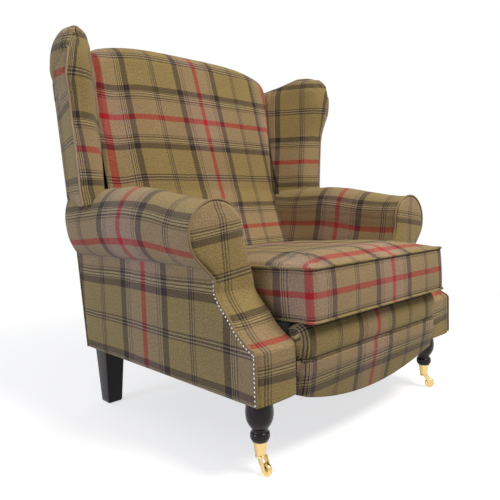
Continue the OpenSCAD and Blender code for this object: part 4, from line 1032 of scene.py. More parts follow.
skin.shell(np.concatenate([face, behind], 1), np.concatenate([uv, np.repeat(uv[:, -1:], 7, 1)], 1))
roll_pad = skin.build("front_border", wool, ["border_roll"], weld=0.03)

low_z = floor_gap - apron_drop * (1 - (np.minimum(np.abs(xs) / (inner_x + arm_w / 10), 1)) ** 2)
zs = seam_z - 0.8 + (low_z + 1.5 - seam_z + 0.8) * np.linspace(0, 1, 40)
ys = border_y + 14 * drawn_in(end) + np.interp(
    zs, [floor_gap - apron_drop, floor_gap, seam_z - 26, seam_z - 7, seam_z - 2, seam_z],
    [21, 8.8, 1.0, 0.4, 2.6, 5.5])
face = join(xs, ys, zs)
face[..., 1] += 0.9 * waves(face, 120, 53) * smooth(end / 30)
a = np.linspace(0, PI, 7)[1:]
hem = join(xs, ys[:, -1:] + 4.2 * (1 - np.cos(a)), low_z + 1.5 - 2.2 * np.sin(a))
lining = join(xs, post_y - 1.0,
              np.hstack([np.maximum(low_z + 6, floor_gap - 4), np.full_like(low_z, seam_z - 0.8)]))
v = line(zs, [114, 162, 179, 181, 204, 236], [0.42, 0.268, 0.219, 0.214, 0.147, 0.05])
uv = join(border_cloth(xs, True), v)
skin = Skin()
skin.shell(np.concatenate([face, hem, lining], 1), np.concatenate([uv, np.repeat(uv[:, -1:], 9, 1)], 1))
skin.build("front_apron_cover", wool, ["front_apron"], weld=0.03)

x = np.linspace(-1, 1, 90) * (inner_x - cord_r - 1)
skin = Skin()
pipe(skin, join(x, border_y + 1.6 + 15 * drawn_in(inner_x - np.abs(x)), seam_z), (0, 0, 1),
     lambda p: (border_cloth(p[:, 0], True), 0.30), r=2.3)
skin.build("border_piping_cover", wool, ["border_piping"], slot="wool_piping")


# ------------------------------------------------------------------ the seat deck
# The platform under the loose cushion: black bottoming cloth over springs and felt, a little
# slack between the rails.

def plain_cloth(name, colour, thread=0.7, contrast=0.25):
    """A plain weave in one colour, drawn on object coordinates in all three directions."""
    mat, t = new_material(name)
    spot = put(t, "ShaderNodeTexCoord").outputs["Object"]
    part = put(t, "ShaderNodeSeparateXYZ", {0: spot})
    cross = [calc(t, "SINE", calc(t, "MULTIPLY", part.outputs[i], 2 * PI / (thread * mm))) for i in range(3)]
    weave = calc(t, "MULTIPLY", calc(t, "ADD", cross[0], cross[2]), calc(t, "ADD", cross[1], cross[2]))
    fleck, dust = noise(t, spot, 420.0, 3.0), noise(t, spot, 14.0, 4.0)
    tone = calc(t, "MULTIPLY_ADD", fleck, contrast, 1 - contrast / 2)
    tone = calc(t, "MULTIPLY", tone, calc(t, "MULTIPLY_ADD", dust, 0.3, 0.85))
    finished(t, {"Base Color": vector(t, "SCALE", {0: srgb(*colour)[:3], "Scale": tone}), "Roughness": 0.9,
                 "Normal": relief(t, 0.3, 0.0003, calc(t, "ADD", calc(t, "MULTIPLY", weave, 0.25), fleck)),
                 "Sheen Weight": 0.12, "Sheen Roughness": 0.6})
    return mat


black_cloth = plain_cloth("black_cloth", (33, 30, 30))
rail_y = arm_front_y(floor_gap + rail_h) + facing_t + fit
deck_y1 = float(back_face_y(0.0, deck_z0)) - fit
ex, ey = np.linspace(-1, 1, 61)[:, None], np.linspace(0, 1, 61)
y = rail_y + (deck_y1 - rail_y) * ey
dip = 5.0 * ((1 - ex ** 2) * (4 * ey * (1 - ey))) ** 0.6
edge = np.minimum((1 - np.abs(ex)) * inner_x, np.minimum(ey * 500, (1 - ey) * 500))
top = join((inner_x - fit) * ex, y, deck_z(y) - dip - 1.0 - 3.0 * (1 - smooth(edge / 9)))
under = top.copy()
under[..., 2] = deck_z0
skin = Skin()
skin.grid(top)
skin.grid(under)
for a, b in ((top[0], under[0]), (top[-1], under[-1]), (top[:, 0], under[:, 0]), (top[:, -1], under[:, -1])):
    skin.grid([a, (a + b) / 2, b])
deck = skin.build("seat_deck_cover", black_cloth, ["seat_deck"], slot="black_cloth")


# ------------------------------------------------------------------ hand stitches
# Pale linen thread closes the slanting turn of the cloth behind each wing's rolled top, and black
# thread closes the ends of the front border, in short ladder stitches.

linen = plain_cloth("linen_thread", (196, 184, 160), thread=0.4, contrast=0.15)
for side, sign in SIDES.items():
    y = np.linspace(133, 214, 30)
    z = flap_z(y) - 1.5
    y0, y1 = wing_front_y(z), back_front_y(z)
    path = join(sign * (wing_outer_x((y - y0) / (2 * (y1 - y0)), z) + 0.9), y, z)
    row(f"wing_stitches_{side}", stitch_row, path, 4.6, (2.6, 0.45, 0.4), (sign, 0, 0), linen,
        turn=PI / 2 - 0.5, uneven=0.16, seed=11, slot="wool_piping")
    z = np.linspace(floor_gap - 10, seam_z - 6, 30)
    path = join(sign * (inner_x - 1.2), border_y + np.interp(z, [156, 236], [15.5, 13]), z)
    row(f"border_stitches_{side}", stitch_row, path, 6.0, (2.4, 0.5, 0.45), (0, -1, 0), black_cloth,
        turn=PI / 2 - 0.3, uneven=0.2, seed=12, slot="black_cloth")


# ------------------------------------------------------------------ the seat cushion
# A loose fibre-filled cushion in the same wool: a crowned top and a flat underside joined by a
# boxing, piped round both edges. It spreads a little in front of the arms.

cushion_crown, cushion_r, cushion_flare, cushion_gap, side_pull, front_shift = 16, 25, 10, 3, 2, 8
cushion_half = inner_x - cushion_gap
tip = math.radians(seat_pitch)
cushion_d = (float(back_face_y(0.0, deck_z0)) - cushion_gap - cushion_y0) / math.cos(tip)
across_n, along_n, arc_n = 62, 66, 9


def seated(p):
    """From the cushion's own frame, flat on a table, to its place on the sloping deck."""
    x, y, z = p[..., 0], p[..., 1], p[..., 2]
    return np.stack([x, cushion_y0 + y * math.cos(tip) + z * math.sin(tip),
                     seat_z - y * math.sin(tip) + z * math.cos(tip)], -1)


def outline(inset):
    """The cushion's rounded outline at a distance inside its edge, from its rear right corner."""
    hx, hy, r = cushion_half - inset, cushion_d / 2 - inset, max(cushion_r - inset, 1)
    corners = [(hx - r, hy - r), (r - hx, hy - r), (r - hx, r - hy), (hx - r, r - hy)]
    pts = []
    for k in range(4):
        a = PI / 2 * (k + np.linspace(0, 1, arc_n))
        pts.append(np.array(corners[k]) + r * np.stack([np.cos(a), np.sin(a)], 1))
        lead = r * np.array([math.cos(PI / 2 * (k + 1)), math.sin(PI / 2 * (k + 1))])
        n = across_n if k % 2 == 0 else along_n
        t = np.linspace(0, 1, n + 2)[1:-1, None]
        pts.append((np.array(corners[k]) + lead) * (1 - t) + (np.array(corners[(k + 1) % 4]) + lead) * t)
    p = np.concatenate(pts)
    fx, fy = p[:, 0] / cushion_half, 2 * p[:, 1] / cushion_d
    spread = smooth((-fy - 0.8) / 0.2) * cushion_flare / cushion_half
    x = p[:, 0] * (1 + spread) - np.sign(fx) * fx ** 2 * side_pull * (1 - fy ** 2)
    y = p[:, 1] - np.sign(fy) * fy ** 2 * side_pull * (1 - fx ** 2)
    x = x + front_shift * smooth((-fy - 0.62) / 0.3)
    return np.stack([x, y + cushion_d / 2], 1)


def at_height(inset, z):
    p = outline(inset)
    return np.column_stack([p, np.broadcast_to(z, len(p))])


def over_crown(inset):
    p = outline(inset)
    fx = 1 - np.minimum(np.abs(p[:, 0]) / (cushion_half + 6), 1) ** 6
    fy = 1 - np.minimum(np.abs(2 * p[:, 1] / cushion_d - 1), 1) ** 6
    return np.column_stack([p, cushion_t - cord_r + (cushion_crown + cord_r) * (fx * fy) ** 0.36])


def front_cloth(x):
    return line(x, [-273, -204, -119.5, -35, 32.6, 104, 192.7, 262],
                [0, 0.2295, 0.515, 0.778, 1.0, 1.222, 1.485, 1.7705])


seam_z1 = cushion_t - cord_r
deep = [0.93, 0.82, 0.7, 0.58, 0.46, 0.36, 0.28, 0.21, 0.155, 0.11, 0.075]
under = [at_height(s * cushion_half, 0) for s in deep] + [at_height(14, 0), at_height(9, 0.4), at_height(6.4, 1.4)]
wall = [at_height(i, z) for i, z in ((5.0, 3.0), (4.2, 6.5), (3.6, 12), (3.0, 23), (2.6, 36), (2.5, 48), (2.5, 59),
                                     (2.5, 70), (2.6, 82), (3.0, 95), (3.6, 106), (4.2, 111.5), (5.0, seam_z1))]
crown_in = [8.5, 12, 17] + [s * cushion_half for s in (0.085, 0.115, 0.15, 0.19, 0.235, 0.285, 0.34, 0.4,
                                                       0.46, 0.53, 0.6, 0.68, 0.76, 0.85, 0.93)]
crown = [at_height(6.2, seam_z1 + 1.4)] + [over_crown(i) for i in crown_in]
plan = outline(2.5)
run = run_along(plan)
k_back = arc_n + across_n
k_left, k_front = k_back + arc_n + along_n, k_back + 2 * arc_n + along_n + across_n
row_y = plan[:, 1] + cushion_y0
along_u = np.full(len(plan), np.nan)
along_u[k_back + arc_n:k_left] = -(row_y[k_back + arc_n:k_left] + 429) / 400
front = slice(k_left + arc_n, k_front)
along_u[front] = front_cloth(plan[front, 0])
right = slice(k_front + arc_n, len(plan))
along_u[right] = front_cloth(283.0) + (row_y[right] + 436) / 400
known = ~np.isnan(along_u)
along_u = np.interp(run, run[known], along_u[known])

skin = Skin()
bottom = np.array(under + wall[:1])
skin.grid(seated(bottom), bottom[..., :2] / sett + (1.0, 0.1), wrap=True)
skin.zip(seated(bottom[0]), bottom[0][:, :2] / sett)
sides_ = np.array(wall)
v = (sides_[..., 2] - cushion_t / 2) / 292
boxing = np.roll(sides_, -k_back, axis=1)
box_uv = np.stack([np.repeat(np.roll(along_u, -k_back)[None], len(wall), 0), np.roll(v, -k_back, axis=1)], -1)
n_box = len(plan) - k_back
skin.grid(seated(boxing[:, :n_box + 1]),
          np.concatenate([box_uv[:, :n_box], box_uv[:, n_box - 1:n_box]], 1))
behind = sides_[:, :k_back + 1]
skin.grid(seated(behind), np.stack([1.5 - behind[..., 0] / sett, behind[..., 2] / sett], -1))
top = np.array([wall[-1]] + crown)
# the cloth over the crown is longer than its plan: the difference lies in the steep part by the seam
rise = np.diff(top, axis=0)
extra = np.linalg.norm(rise, axis=-1) - np.linalg.norm(rise[..., :2], axis=-1)
extra = np.concatenate([np.cumsum(extra[::-1], axis=0)[::-1], np.zeros((1, top.shape[1]))])
outward = unit(top[0, :, :2] - top[5, :, :2])
laid = top[..., :2] + outward[None] * extra[..., None]
top_uv = np.stack([front_cloth(-260 + np.abs(laid[..., 0] + 260)), (laid[..., 1] + cushion_y0 + 412) / 420], -1)
ripple = np.sin(run * (2 * PI / 19) + 3 * np.sin(run / 37)) * (0.55 + 0.45 * np.sin(run / 61 + 1))
fade = np.zeros(len(top))
fade[:7] = [0, 0.3, 0.9, 1.0, 0.7, 0.35, 0.12]
top[..., 2] += 0.7 * ripple[None] * fade[:, None]
uneven = 1.8 * waves(top[3:], 150, 61) + 0.8 * waves(top[3:], 60, 62)
top[3:, :, 2] += uneven * np.minimum(np.arange(len(top) - 3) / 5, 1)[:, None]
skin.grid(seated(top), top_uv, wrap=True)
skin.zip(seated(top[-1]), top_uv[-1])
cushion = skin.build("seat_cushion_cover", wool, ["seat_cushion"], body="cushion", weld=0.03)

# The filling is let swell against the cover, held at the seams and by what lies round it.
mesh = cushion.data
flat = np.array([v.co for v in mesh.vertices]) * 1000
own_y = (flat[:, 1] - cushion_y0) * math.cos(tip) - (flat[:, 2] - seat_z) * math.sin(tip)
own_z = (flat[:, 1] - cushion_y0) * math.sin(tip) + (flat[:, 2] - seat_z) * math.cos(tip)
held = cushion.vertex_groups.new(name="seams")
at_seam = (np.abs(own_z - seam_z1) < 0.9) | (own_z < 4)
held.add([int(i) for i in np.nonzero(at_seam)[0]], 1.0, "REPLACE")
swell_up = cushion.modifiers.new("filling", "CLOTH")
cloth = swell_up.settings
cloth.quality, cloth.mass = 6, 0.3
cloth.use_pressure, cloth.uniform_pressure_force = True, 4.0
cloth.tension_stiffness = cloth.compression_stiffness = 25
cloth.shear_stiffness, cloth.bending_stiffness = 12, 6
cloth.vertex_group_mass = "seams"
cloth.effector_weights.gravity = 0
swell_up.collision_settings.use_collision = False
scene = bpy.context.scene
for step in range(1, 21):
    scene.frame_set(step)
ready = cushion.evaluated_get(bpy.context.evaluated_depsgraph_get())
swollen = np.array([v.co for v in ready.data.vertices]) * 1000
cushion.modifiers.remove(swell_up)
scene.frame_set(1)
cushion.vertex_groups.remove(held)
move = swollen - flat
# the top may rise, the front may swell, and the sides and the back stay within the arms
ahead_of = smooth((70 - own_y) / 40)
cap = np.where(own_z > seam_z1 + 0.5, 9.0, 0.6 + 4.4 * ahead_of)
cap = np.where(own_z < 4, 0.0, cap)
size_ = np.linalg.norm(move, axis=1)
move *= (np.minimum(size_, cap) / np.maximum(size_, 1e-6))[:, None]
mesh.vertices.foreach_set("co", ((flat + move) * mm).ravel())
mesh.update()
finer = cushion.modifiers.new("finer", "SUBSURF")
finer.levels = finer.render_levels = 1

skin = Skin()
for z in (cord_r, seam_z1):
    path = at_height(cord_r, z)
    far = run_along(path)

    def piping_cloth(p, far=far):
        step = np.linspace(0, far[-1], len(p))
        return np.interp(step, far, along_u), np.full(len(p), 0.34)

    pipe(skin, seated(path), (0, math.sin(tip), math.cos(tip)), closed=True, cloth=piping_cloth)
skin.build("cushion_piping_cover", wool, ["cushion_piping"], body="cushion", slot="wool_piping")


# ------------------------------------------------------------------ the cushion's zip
# A closed zip across the back boxing: a black tape, a row of small moulded teeth, and a steel
# slider with its pull.

zip_x = np.linspace(-cushion_half / 2, cushion_half / 2, 80)
tape_h = cushion_t / 10


def behind_y(x):
    return cushion_d - 2.5 - side_pull * (1 - (x / cushion_half) ** 2)


bow = behind_y(zip_x)
zs = cushion_t / 2 + np.linspace(-1, 1, 9) * tape_h / 2
lift = 0.9 - 0.5 * np.abs(np.linspace(-1, 1, 9)) ** 4
face = join(zip_x[:, None], bow[:, None] + lift, zs)
inner = face.copy()
inner[..., 1] = bow[:, None] - 0.6
skin = Skin()
skin.panel(seated(face), seated(inner))
skin.build("zip_tape", black_cloth, ["cushion_zip"], body="cushion", slot="black_cloth")
steel = metal("steel", (176, 178, 184), 0.34, grain=120.0)
teeth = seated(join(zip_x[2:-2], bow[2:-2] + 1.2, cushion_t / 2))
row("zip_teeth", stitch_row, teeth, 2.3, (1.9, 0.75, 0.55), (0, 1, -fall), steel, turn=PI / 2, seed=2,
    body="cushion", slot="black_cloth")


def rounded_bar(skin, centre, size, r, steps=3):
    """A small solid with rounded edges, for sliders, pulls and clips."""
    cx, cy, cz = centre
    hx, hy, hz = (s / 2 for s in size)
    a = np.linspace(0, 2 * PI, 4 * (steps + 1), endpoint=False) + PI / 4
    ca, sa = np.cos(a), np.sin(a)
    base = np.stack([np.sign(ca) * (hx - r) + r * ca, np.sign(sa) * (hz - r) + r * sa], 1)
    rings = []
    for b_ in np.linspace(-PI / 2, PI / 2, 2 * steps):
        k = 1 - (1 - math.cos(b_)) * r / max(min(hx, hz), r)
        rings.append(np.column_stack([cx + base[:, 0] * k,
                                      np.full(len(a), cy + (hy - r) * np.sign(b_) + r * math.sin(b_)),
                                      cz + base[:, 1] * k]))
    skin.shell(seated(np.array(rings)), fans=True)


skin = Skin()
slider_x = -cushion_half / 2 + 9
rounded_bar(skin, (slider_x, behind_y(slider_x) + 2.2, cushion_t / 2), (9, 3.2, 6.4), 1.2)
rounded_bar(skin, (slider_x + 11, behind_y(slider_x) + 4.3, cushion_t / 2), (18, 1.2, 4.2), 0.5)
skin.build("zip_slider", steel, body="cushion", slot="black_cloth")


# ------------------------------------------------------------------ the front legs
# Turned legs in a dark polished finish: a full bulb, a fine line cut under it, a slim neck and a
# collar above the castor's cup. Each is drawn up to the frame by its bolt.

leg_in_x, leg_in_y, bulb_r = 53, 53, 30
cup_z, cup_h, cup_r, cup_foot_r, cup_wall = 41, 30, 15.5, 11.5, 2
spigot_r = cup_r - cup_wall - fit


def polished_wood(name, light, deep, rough, coat=0.0, shine=0.5, axis=2):
    """Wood grain drawn along one axis of the chair, with fine pores."""
    mat, t = new_material(name)
    spot = put(t, "ShaderNodeTexCoord").outputs["Object"]
    along = [1.0, 1.0, 1.0]
    along[axis] = 0.07
    stretched = put(t, "ShaderNodeMapping", {"Vector": spot, "Scale": tuple(along)}).outputs[0]
    figure = noise(t, stretched, 42.0, 7.0, Roughness=0.62, Distortion=0.9)
    dark_pore = calc(t, "GREATER_THAN", noise(t, stretched, 900.0, 2.0), 0.66)
    shade = mixed(t, calc(t, "MULTIPLY_ADD", figure, 2.2, -0.6, clamp=True), srgb(*deep), srgb(*light))
    shade = vector(t, "SCALE", {0: shade, "Scale": calc(t, "MULTIPLY_ADD", dark_pore, -0.22, 1.0)})
    handled = noise(t, spot, 30.0, 3.0)
    finished(t, {"Base Color": shade, "Roughness": calc(t, "MULTIPLY_ADD", handled, 0.12, rough - 0.06),
                 "Normal": relief(t, 0.08 if coat else 0.25, 0.0003, calc(t, "SUBTRACT", figure, dark_pore)),
                 "Specular IOR Level": shine, "Coat Weight": coat, "Coat Roughness": 0.06})
    return mat


def turned(skin, profile, centre, sides=64):
    """A turned solid from (radius, height) pairs, about an upright axis."""
    a = np.linspace(0, 2 * PI, sides, endpoint=False)
    r, z = np.array(profile, float).T[..., None]
    skin.shell(join(centre[0] + r * np.cos(a), centre[1] + r * np.sin(a), z), fans=True)


mahogany = polished_wood("mahogany", (40, 27, 30), (17, 12, 14), 0.28, coat=0.14, shine=0.16)
foot_z, leg_h = cup_z + cup_h, floor_gap - cup_z - cup_h
shape = curve([0, 0.04, 0.10, 0.15, 0.20, 0.225, 0.25, 0.285, 0.33, 0.42, 0.52, 0.63, 0.76, 0.88, 1.0],
              [0.57, 0.645, 0.705, 0.705, 0.665, 0.60, 0.575, 0.60, 0.70, 0.865, 0.965, 1.0, 0.972, 0.918, 0.86])
share = np.linspace(0, 1, 110)
radius = shape(share) * bulb_r
radius -= 0.75 * np.exp(-((share - 0.215) / 0.008) ** 2) + 0.55 * np.exp(-((share - 0.535) / 0.006) ** 2)
for side, sign in SIDES.items():
    centre = (sign * (base_half - leg_in_x), front_y + leg_in_y)
    skin = Skin()
    lower = [(spigot_r * 0.75, cup_z + cup_h * 0.2), (spigot_r * 0.9, cup_z + cup_h * 0.6),
             (spigot_r, foot_z - 0.2)]
    turned(skin, lower + list(zip(radius, foot_z + fit + share * (leg_h - fit))), centre)
    skin.build(f"turned_leg_{side}", mahogany, [f"front_leg_{side}"], slot="mahogany", weld=0.005, sharp=50)


# ------------------------------------------------------------------ the rear legs
# Square legs that taper to the foot, in the same dark finish, with their long edges eased by
# sanding, on round steel glides.

rear_leg_w, rear_foot_w, rear_in_x, rear_in_y, glide_t, glide_r = 60, 42, 49, 43, 3, 10
for side, sign in SIDES.items():
    cx, cy = sign * (base_half - rear_in_x), front_y + base_d - rear_in_y
    rings = []
    for z in (glide_t, glide_t + 0.5, glide_t + 1.6, glide_t + 3.2, *np.linspace(glide_t + 12, floor_gap - 6, 18),
              floor_gap):
        h = rear_foot_w / 2 + (rear_leg_w - rear_foot_w) / 2 * (z - glide_t) / (floor_gap - glide_t)
        h -= max(0, 3.2 - (z - glide_t)) ** 2 * 0.22
        r = 2.6
        a = np.concatenate([np.linspace(k * PI / 2, (k + 1) * PI / 2, 6) for k in range(4)])
        corner = np.repeat([[1, 1], [-1, 1], [-1, -1], [1, -1]], 6, 0)
        rings.append(np.column_stack([cx + corner[:, 0] * (h - r) + r * np.cos(a),
                                      cy + corner[:, 1] * (h - r) + r * np.sin(a), np.full(24, z)]))
    skin = Skin()
    skin.shell(np.array(rings), fans=True)
    skin.build(f"square_leg_{side}", mahogany, [f"rear_leg_{side}"], slot="mahogany", weld=0.005)
skin = Skin()
for sign in SIDES.values():
    domed = [(0.2, 0.0), (6, 0.05), (8.6, 0.5), (glide_r - 0.35, 1.2), (glide_r, 2.0), (glide_r, glide_t)]
    turned(skin, domed, (sign * (base_half - rear_in_x), front_y + base_d - rear_in_y), 40)
skin.build("glides", steel, ["rear_glides"], slot="steel", sharp=60)


# ------------------------------------------------------------------ the castors
# Brass cup castors: a tapered cup on the leg's spigot, a forked horn that swivels on a riveted
# pin, and a solid brass wheel on a steel axle.

wheel_r, wheel_w, trail = 14, 13, 17
headings = {"left": math.radians(270), "right": math.radians(315)}
pin_r, pin_head_r, pin_head_t, axle_r, cheek_t, horn_t = 3, 5.5, 2, 2, 3, 4.5
horn_z = cup_z - fit - horn_t
brass = metal("brass", (226, 198, 138), 0.26, wear=0.05, grain=140.0)
cup_slope = (cup_r - cup_foot_r) / cup_h


def edged(points, r=0.8):
    """Rounds the corners of a section by cutting each one back in three short steps."""
    out = []
    n = len(points)
    for i in range(n):
        p, q, s = (np.array(points[(i + k) % n], float) for k in (-1, 0, 1))
        a, b = p - q, s - q
        la, lb = np.linalg.norm(a), np.linalg.norm(b)
        k = min(r, la * 0.45, lb * 0.45)
        e0, e1 = q + a / la * k, q + b / lb * k
        for t in (0, 0.33, 0.67, 1):
            out.append((1 - t) ** 2 * e0 + 2 * t * (1 - t) * q + t * t * e1)
    return np.array(out)


def lathe_loop(skin, section, move, sides=56):
    """Turns a closed (radius, height) section about the upright axis."""
    a = np.linspace(0, 2 * PI, sides, endpoint=False)
    rings = np.array([[(r * math.cos(t), r * math.sin(t), z) for r, z in section] for t in a])
    rings = np.concatenate([rings, rings[:1]])
    skin.grid(move(rings), wrap=True)


def cheek(skin, y0, y1, move):
    """One arm of the fork: it sweeps from the plate down to the axle, as a cast brass horn does."""
    t = np.linspace(0, 1, 20)
    fore = np.stack([0.2 * cup_foot_r - 2.4 + (trail - 4.2 - 0.2 * cup_foot_r + 1.6) * t ** 1.5,
                     horn_z + horn_t * 0.9 + (wheel_r + 1 - horn_z - horn_t * 0.9) * t ** 0.9], 1)
    tip_a = np.linspace(PI * 0.98, 2 * PI + 0.5, 16)
    low = np.stack([trail + 4.8 * np.cos(tip_a), wheel_r + 4.8 * np.sin(tip_a)], 1)
    aft0 = low[-1]
    aft = np.stack([aft0[0] + (cup_foot_r * 0.8 + 2.2 - aft0[0]) * t[1:] ** 1.1,
                    aft0[1] + (horn_z + horn_t * 0.9 - aft0[1]) * t[1:] ** 1.15], 1)
    side_ = np.concatenate([fore, low, aft])
    mid = np.array([trail * 0.62, (wheel_r + horn_z) / 2])
    rings = []
    for y, k in ((y0, 0.9), (y0 + np.sign(y1 - y0) * 0.25, 0.965), (y0 + np.sign(y1 - y0) * 0.7, 1.0),
                 (y1 - np.sign(y1 - y0) * 0.7, 1.0), (y1 - np.sign(y1 - y0) * 0.25, 0.965), (y1, 0.9)):
        p = mid + (side_ - mid) * k
        rings.append(np.column_stack([p[:, 0], np.full(len(p), y), p[:, 1]]))
    skin.shell(move(np.array(rings)), fans=True)


for side, sign in SIDES.items():
    heading = headings[side]
    cx, cy = sign * (base_half - leg_in_x), front_y + leg_in_y

    def at_castor(p, c=math.cos(heading), s=math.sin(heading), cx=cx, cy=cy):
        p = np.asarray(p, float)
        return np.stack([cx + p[..., 0] * c - p[..., 1] * s, cy + p[..., 0] * s + p[..., 1] * c, p[..., 2]], -1)

    def on_axle(p):
        p = np.asarray(p, float)
        return at_castor(np.stack([trail + p[..., 0], -p[..., 2], wheel_r + p[..., 1]], -1))

    floor_t = cup_h * 0.18
    rim = cup_z + cup_h
    section = edged([(pin_r, cup_z), (cup_foot_r - 0.4, cup_z), (cup_foot_r, cup_z + 1.2),
                     (cup_r - 0.7, rim - 3.2), (cup_r, rim - 2.4), (cup_r, rim), (cup_r - cup_wall, rim),
                     (cup_foot_r + cup_slope * floor_t - cup_wall, cup_z + floor_t),
                      (pin_r, cup_z + floor_t)], 0.6)
    skin = Skin()
    lathe_loop(skin, section, move=at_castor)
    skin.build(f"castor_cup_{side}_brass", brass, [f"castor_cup_{side}"], slot="brass", sharp=40)

    skin = Skin()
    low = horn_z - fit - pin_head_t
    rivet = [(0.3, low), (3.2, low + 0.15), (4.8, low + 0.6), (pin_head_r, low + 1.3),
             (pin_head_r, low + pin_head_t),
             (pin_r, low + pin_head_t + 0.01), (pin_r, cup_z + cup_h * 0.18 - 0.8),
             (pin_r - 0.8, cup_z + cup_h * 0.18)]
    turned(skin, rivet, (cx, cy), 32)
    skin.build(f"swivel_rivet_{side}", brass, [f"swivel_pin_{side}"], slot="brass", sharp=50)

    skin = Skin()
    plate = edged([(pin_r + 0.1, horn_z), (cup_foot_r - 0.6, horn_z), (cup_foot_r, horn_z + 1.6),
                   (cup_foot_r, horn_z + horn_t), (pin_r + 0.1, horn_z + horn_t)], 0.7)
    lathe_loop(skin, plate, move=at_castor)
    inner_y = wheel_w / 2 + fit
    cheek(skin, inner_y, inner_y + cheek_t, at_castor)
    cheek(skin, -inner_y, -inner_y - cheek_t, at_castor)
    skin.build(f"castor_fork_{side}", brass, [f"castor_horn_{side}"], body=f"castor_{side}", slot="brass",
               sharp=45)

    reach = wheel_w / 2 + cheek_t + 2 * fit
    ends = [(0.3, -reach), (1.2, -reach + 0.1), (axle_r, -reach + 0.6),
            (axle_r, reach - 0.6), (1.2, reach - 0.1), (0.3, reach)]
    a = np.linspace(0, 2 * PI, 24, endpoint=False)
    rings = np.array([[(r * math.cos(t), r * math.sin(t), z) for t in a] for r, z in ends])
    skin = Skin()
    skin.shell(on_axle(rings), fans=True)
    skin.build(f"axle_{side}", steel, [f"axle_pin_{side}"], body=f"castor_{side}", slot="steel", sharp=50)

    h = wheel_w / 2
    bore = axle_r + 0.05
    crown_a = np.linspace(-1, 1, 13)
    tread = [(wheel_r - 0.9 - 1.9 * abs(t) ** 3.2 + 0.9, h * 0.86 * t) for t in crown_a]
    section = [(bore, -h), (4.6, -h), (5.2, -h + 0.7), (8.8, -h + 0.9), (9.8, -h + 0.35), (11.2, -h + 0.2)] + tread + \
              [(11.2, h - 0.2), (9.8, h - 0.35), (8.8, h - 0.9), (5.2, h - 0.7), (4.6, h), (bore, h)]
    skin = Skin()
    lathe_loop(skin, section, sides=64, move=on_axle)
    skin.build(f"castor_wheel_{side}_brass", brass, [f"castor_wheel_{side}"], body=f"wheel_{side}", slot="brass",
               sharp=40)


# ------------------------------------------------------------------ the hidden frame
# Beech rails, posts, blocks and boards, glued and screwed, with steel bolts for the legs and jute
# webbing stretched across the seat and the back. Each board's grain runs along its length.

beech_ways = {way: polished_wood(f"beech_{way}", (226, 192, 146), (204, 162, 112), 0.55, axis=axis)
              for way, axis in (("across", 0), ("deep", 1), ("upright", 2))}
members = {"across": ["front_rail", "rear_rail", "crest_rail", "stay_rail"],
           "deep": ["side_rail_left", "side_rail_right", "arm_rail_left", "arm_rail_right", "corner_blocks"],
           "upright": ["front_post_left", "front_post_right", "back_post_left", "back_post_right",
                       "wing_board_left", "wing_board_right"]}


def finish_node(name, mat):
    """Gives a CAD solid that is shown as it stands its own material."""
    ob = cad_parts[name]
    for own in ob.material_slots:
        own.link = "OBJECT"
        own.material = mat


for way, names in members.items():
    for name in names:
        finish_node(name, beech_ways[way])
finish_node("leg_bolts", steel)


def webbing_weave(name, axes):
    """Herringbone jute in straw yellow, drawn flat in the plane the straps lie in."""
    mat, t = new_material(name)
    spot = put(t, "ShaderNodeTexCoord").outputs["Object"]
    part = put(t, "ShaderNodeSeparateXYZ", {0: spot}).outputs
    a, b_ = part[axes[0]], part[axes[1]]
    turn_ = calc(t, "PINGPONG", a, 0.006)
    rib = calc(t, "SINE", calc(t, "MULTIPLY", calc(t, "ADD", turn_, b_), 2 * PI / 0.0028))
    hair = noise(t, spot, 500.0, 4.0)
    shade = mixed(t, calc(t, "MULTIPLY_ADD", rib, 0.3, hair, clamp=True), srgb(140, 110, 68), srgb(206, 176, 124))
    finished(t, {"Base Color": shade, "Roughness": 0.92,
                 "Normal": relief(t, 0.5, 0.0008, calc(t, "ADD", rib, hair))})
    return mat


finish_node("seat_webbing", webbing_weave("jute_flat", (0, 1)))
finish_node("back_webbing", webbing_weave("jute_upright", (0, 2)))


# ------------------------------------------------------------------ the dust cover
# A thin black cloth stretched under the rails, cut round the legs, turned under at its edges and
# stapled every few centimetres.

post_front = arm_front_y(floor_gap) + facing_t + fit
rail_back = rear_y(floor_gap) - (panel_t + fit) / math.cos(rake)
leg_y0, leg_y1 = front_y + leg_in_y, front_y + base_d - rear_in_y
round_r, square_r = bulb_r + 1, rear_leg_w / 2 + 1
thick = webbing_t / 2


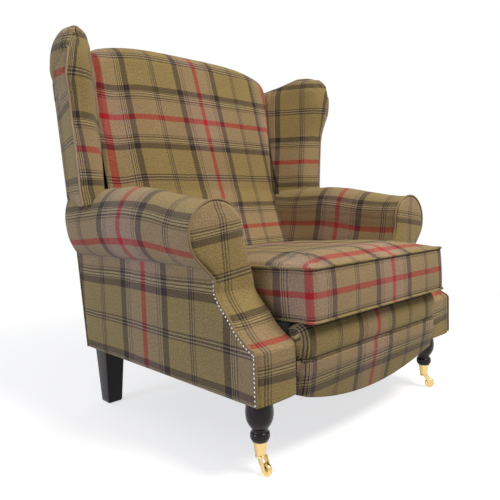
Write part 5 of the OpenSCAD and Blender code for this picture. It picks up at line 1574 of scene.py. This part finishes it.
def cover_half(y):
    """Half width of the cover at y, cut in round the front and the rear legs."""
    x = np.full_like(y, frame_x)
    near = np.abs(y - leg_y0) < round_r
    x[near] = base_half - leg_in_x - np.sqrt(round_r ** 2 - (y[near] - leg_y0) ** 2)
    x[np.abs(y - leg_y1) < square_r] = base_half - rear_in_x - square_r
    return x


round_cut = leg_y0 + round_r * np.sin(np.linspace(-PI / 2, PI / 2, 25))[1:-1]
ys = np.unique(np.concatenate([np.linspace(post_front, leg_y0 - round_r - 0.01, 6), round_cut,
                               np.linspace(leg_y0 + round_r + 0.01, leg_y1 - square_r - 0.01, 50),
                               np.linspace(leg_y1 - square_r + 0.01, min(leg_y1 + square_r, rail_back) - 0.01, 10),
                               [rail_back]]))
ex = np.linspace(-1, 1, 61)
X = cover_half(ys)[:, None] * ex[None]
Y = np.repeat(ys[:, None], 61, 1)
sag = 2.4 * (smooth((frame_x - np.abs(X)) / 120) * smooth((Y - post_front) / 120) * smooth((rail_back - Y) / 120))
sheet_pts = np.stack([X, Y, floor_gap - fit - thick / 2 - sag], -1)
skin = Skin()
skin.grid(sheet_pts + (0, 0, thick / 2))
skin.grid(sheet_pts - (0, 0, thick / 2))
for pick in ((slice(None), 0), (slice(None), -1), (0, slice(None)), (-1, slice(None))):
    edge_line = sheet_pts[pick]
    skin.grid(np.stack([edge_line + (0, 0, thick / 2), edge_line - (0, 0, thick / 2)]))
under_cloth = skin.build("dust_cover_cloth", black_cloth, ["dust_cover"], slot="black_cloth", weld=0.01)
staple_z, beside = floor_gap - fit - thick - 0.4, frame_x - 12
staple_runs = (((-300, post_front + 12), (300, post_front + 12)), ((-330, rail_back - 12), (330, rail_back - 12)),
               ((-beside, leg_y0 + 50), (-beside, leg_y1 - 50)), ((beside, leg_y0 + 50), (beside, leg_y1 - 50)))
for k, ends in enumerate(staple_runs):
    row(f"staples_{k + 1}", stitch_row, [(*end, staple_z) for end in ends], 32.0, (5.5, 0.5, 0.45), (0, 0, -1),
        steel, turn=0.35, uneven=0.12, seed=20 + k, slot="steel")
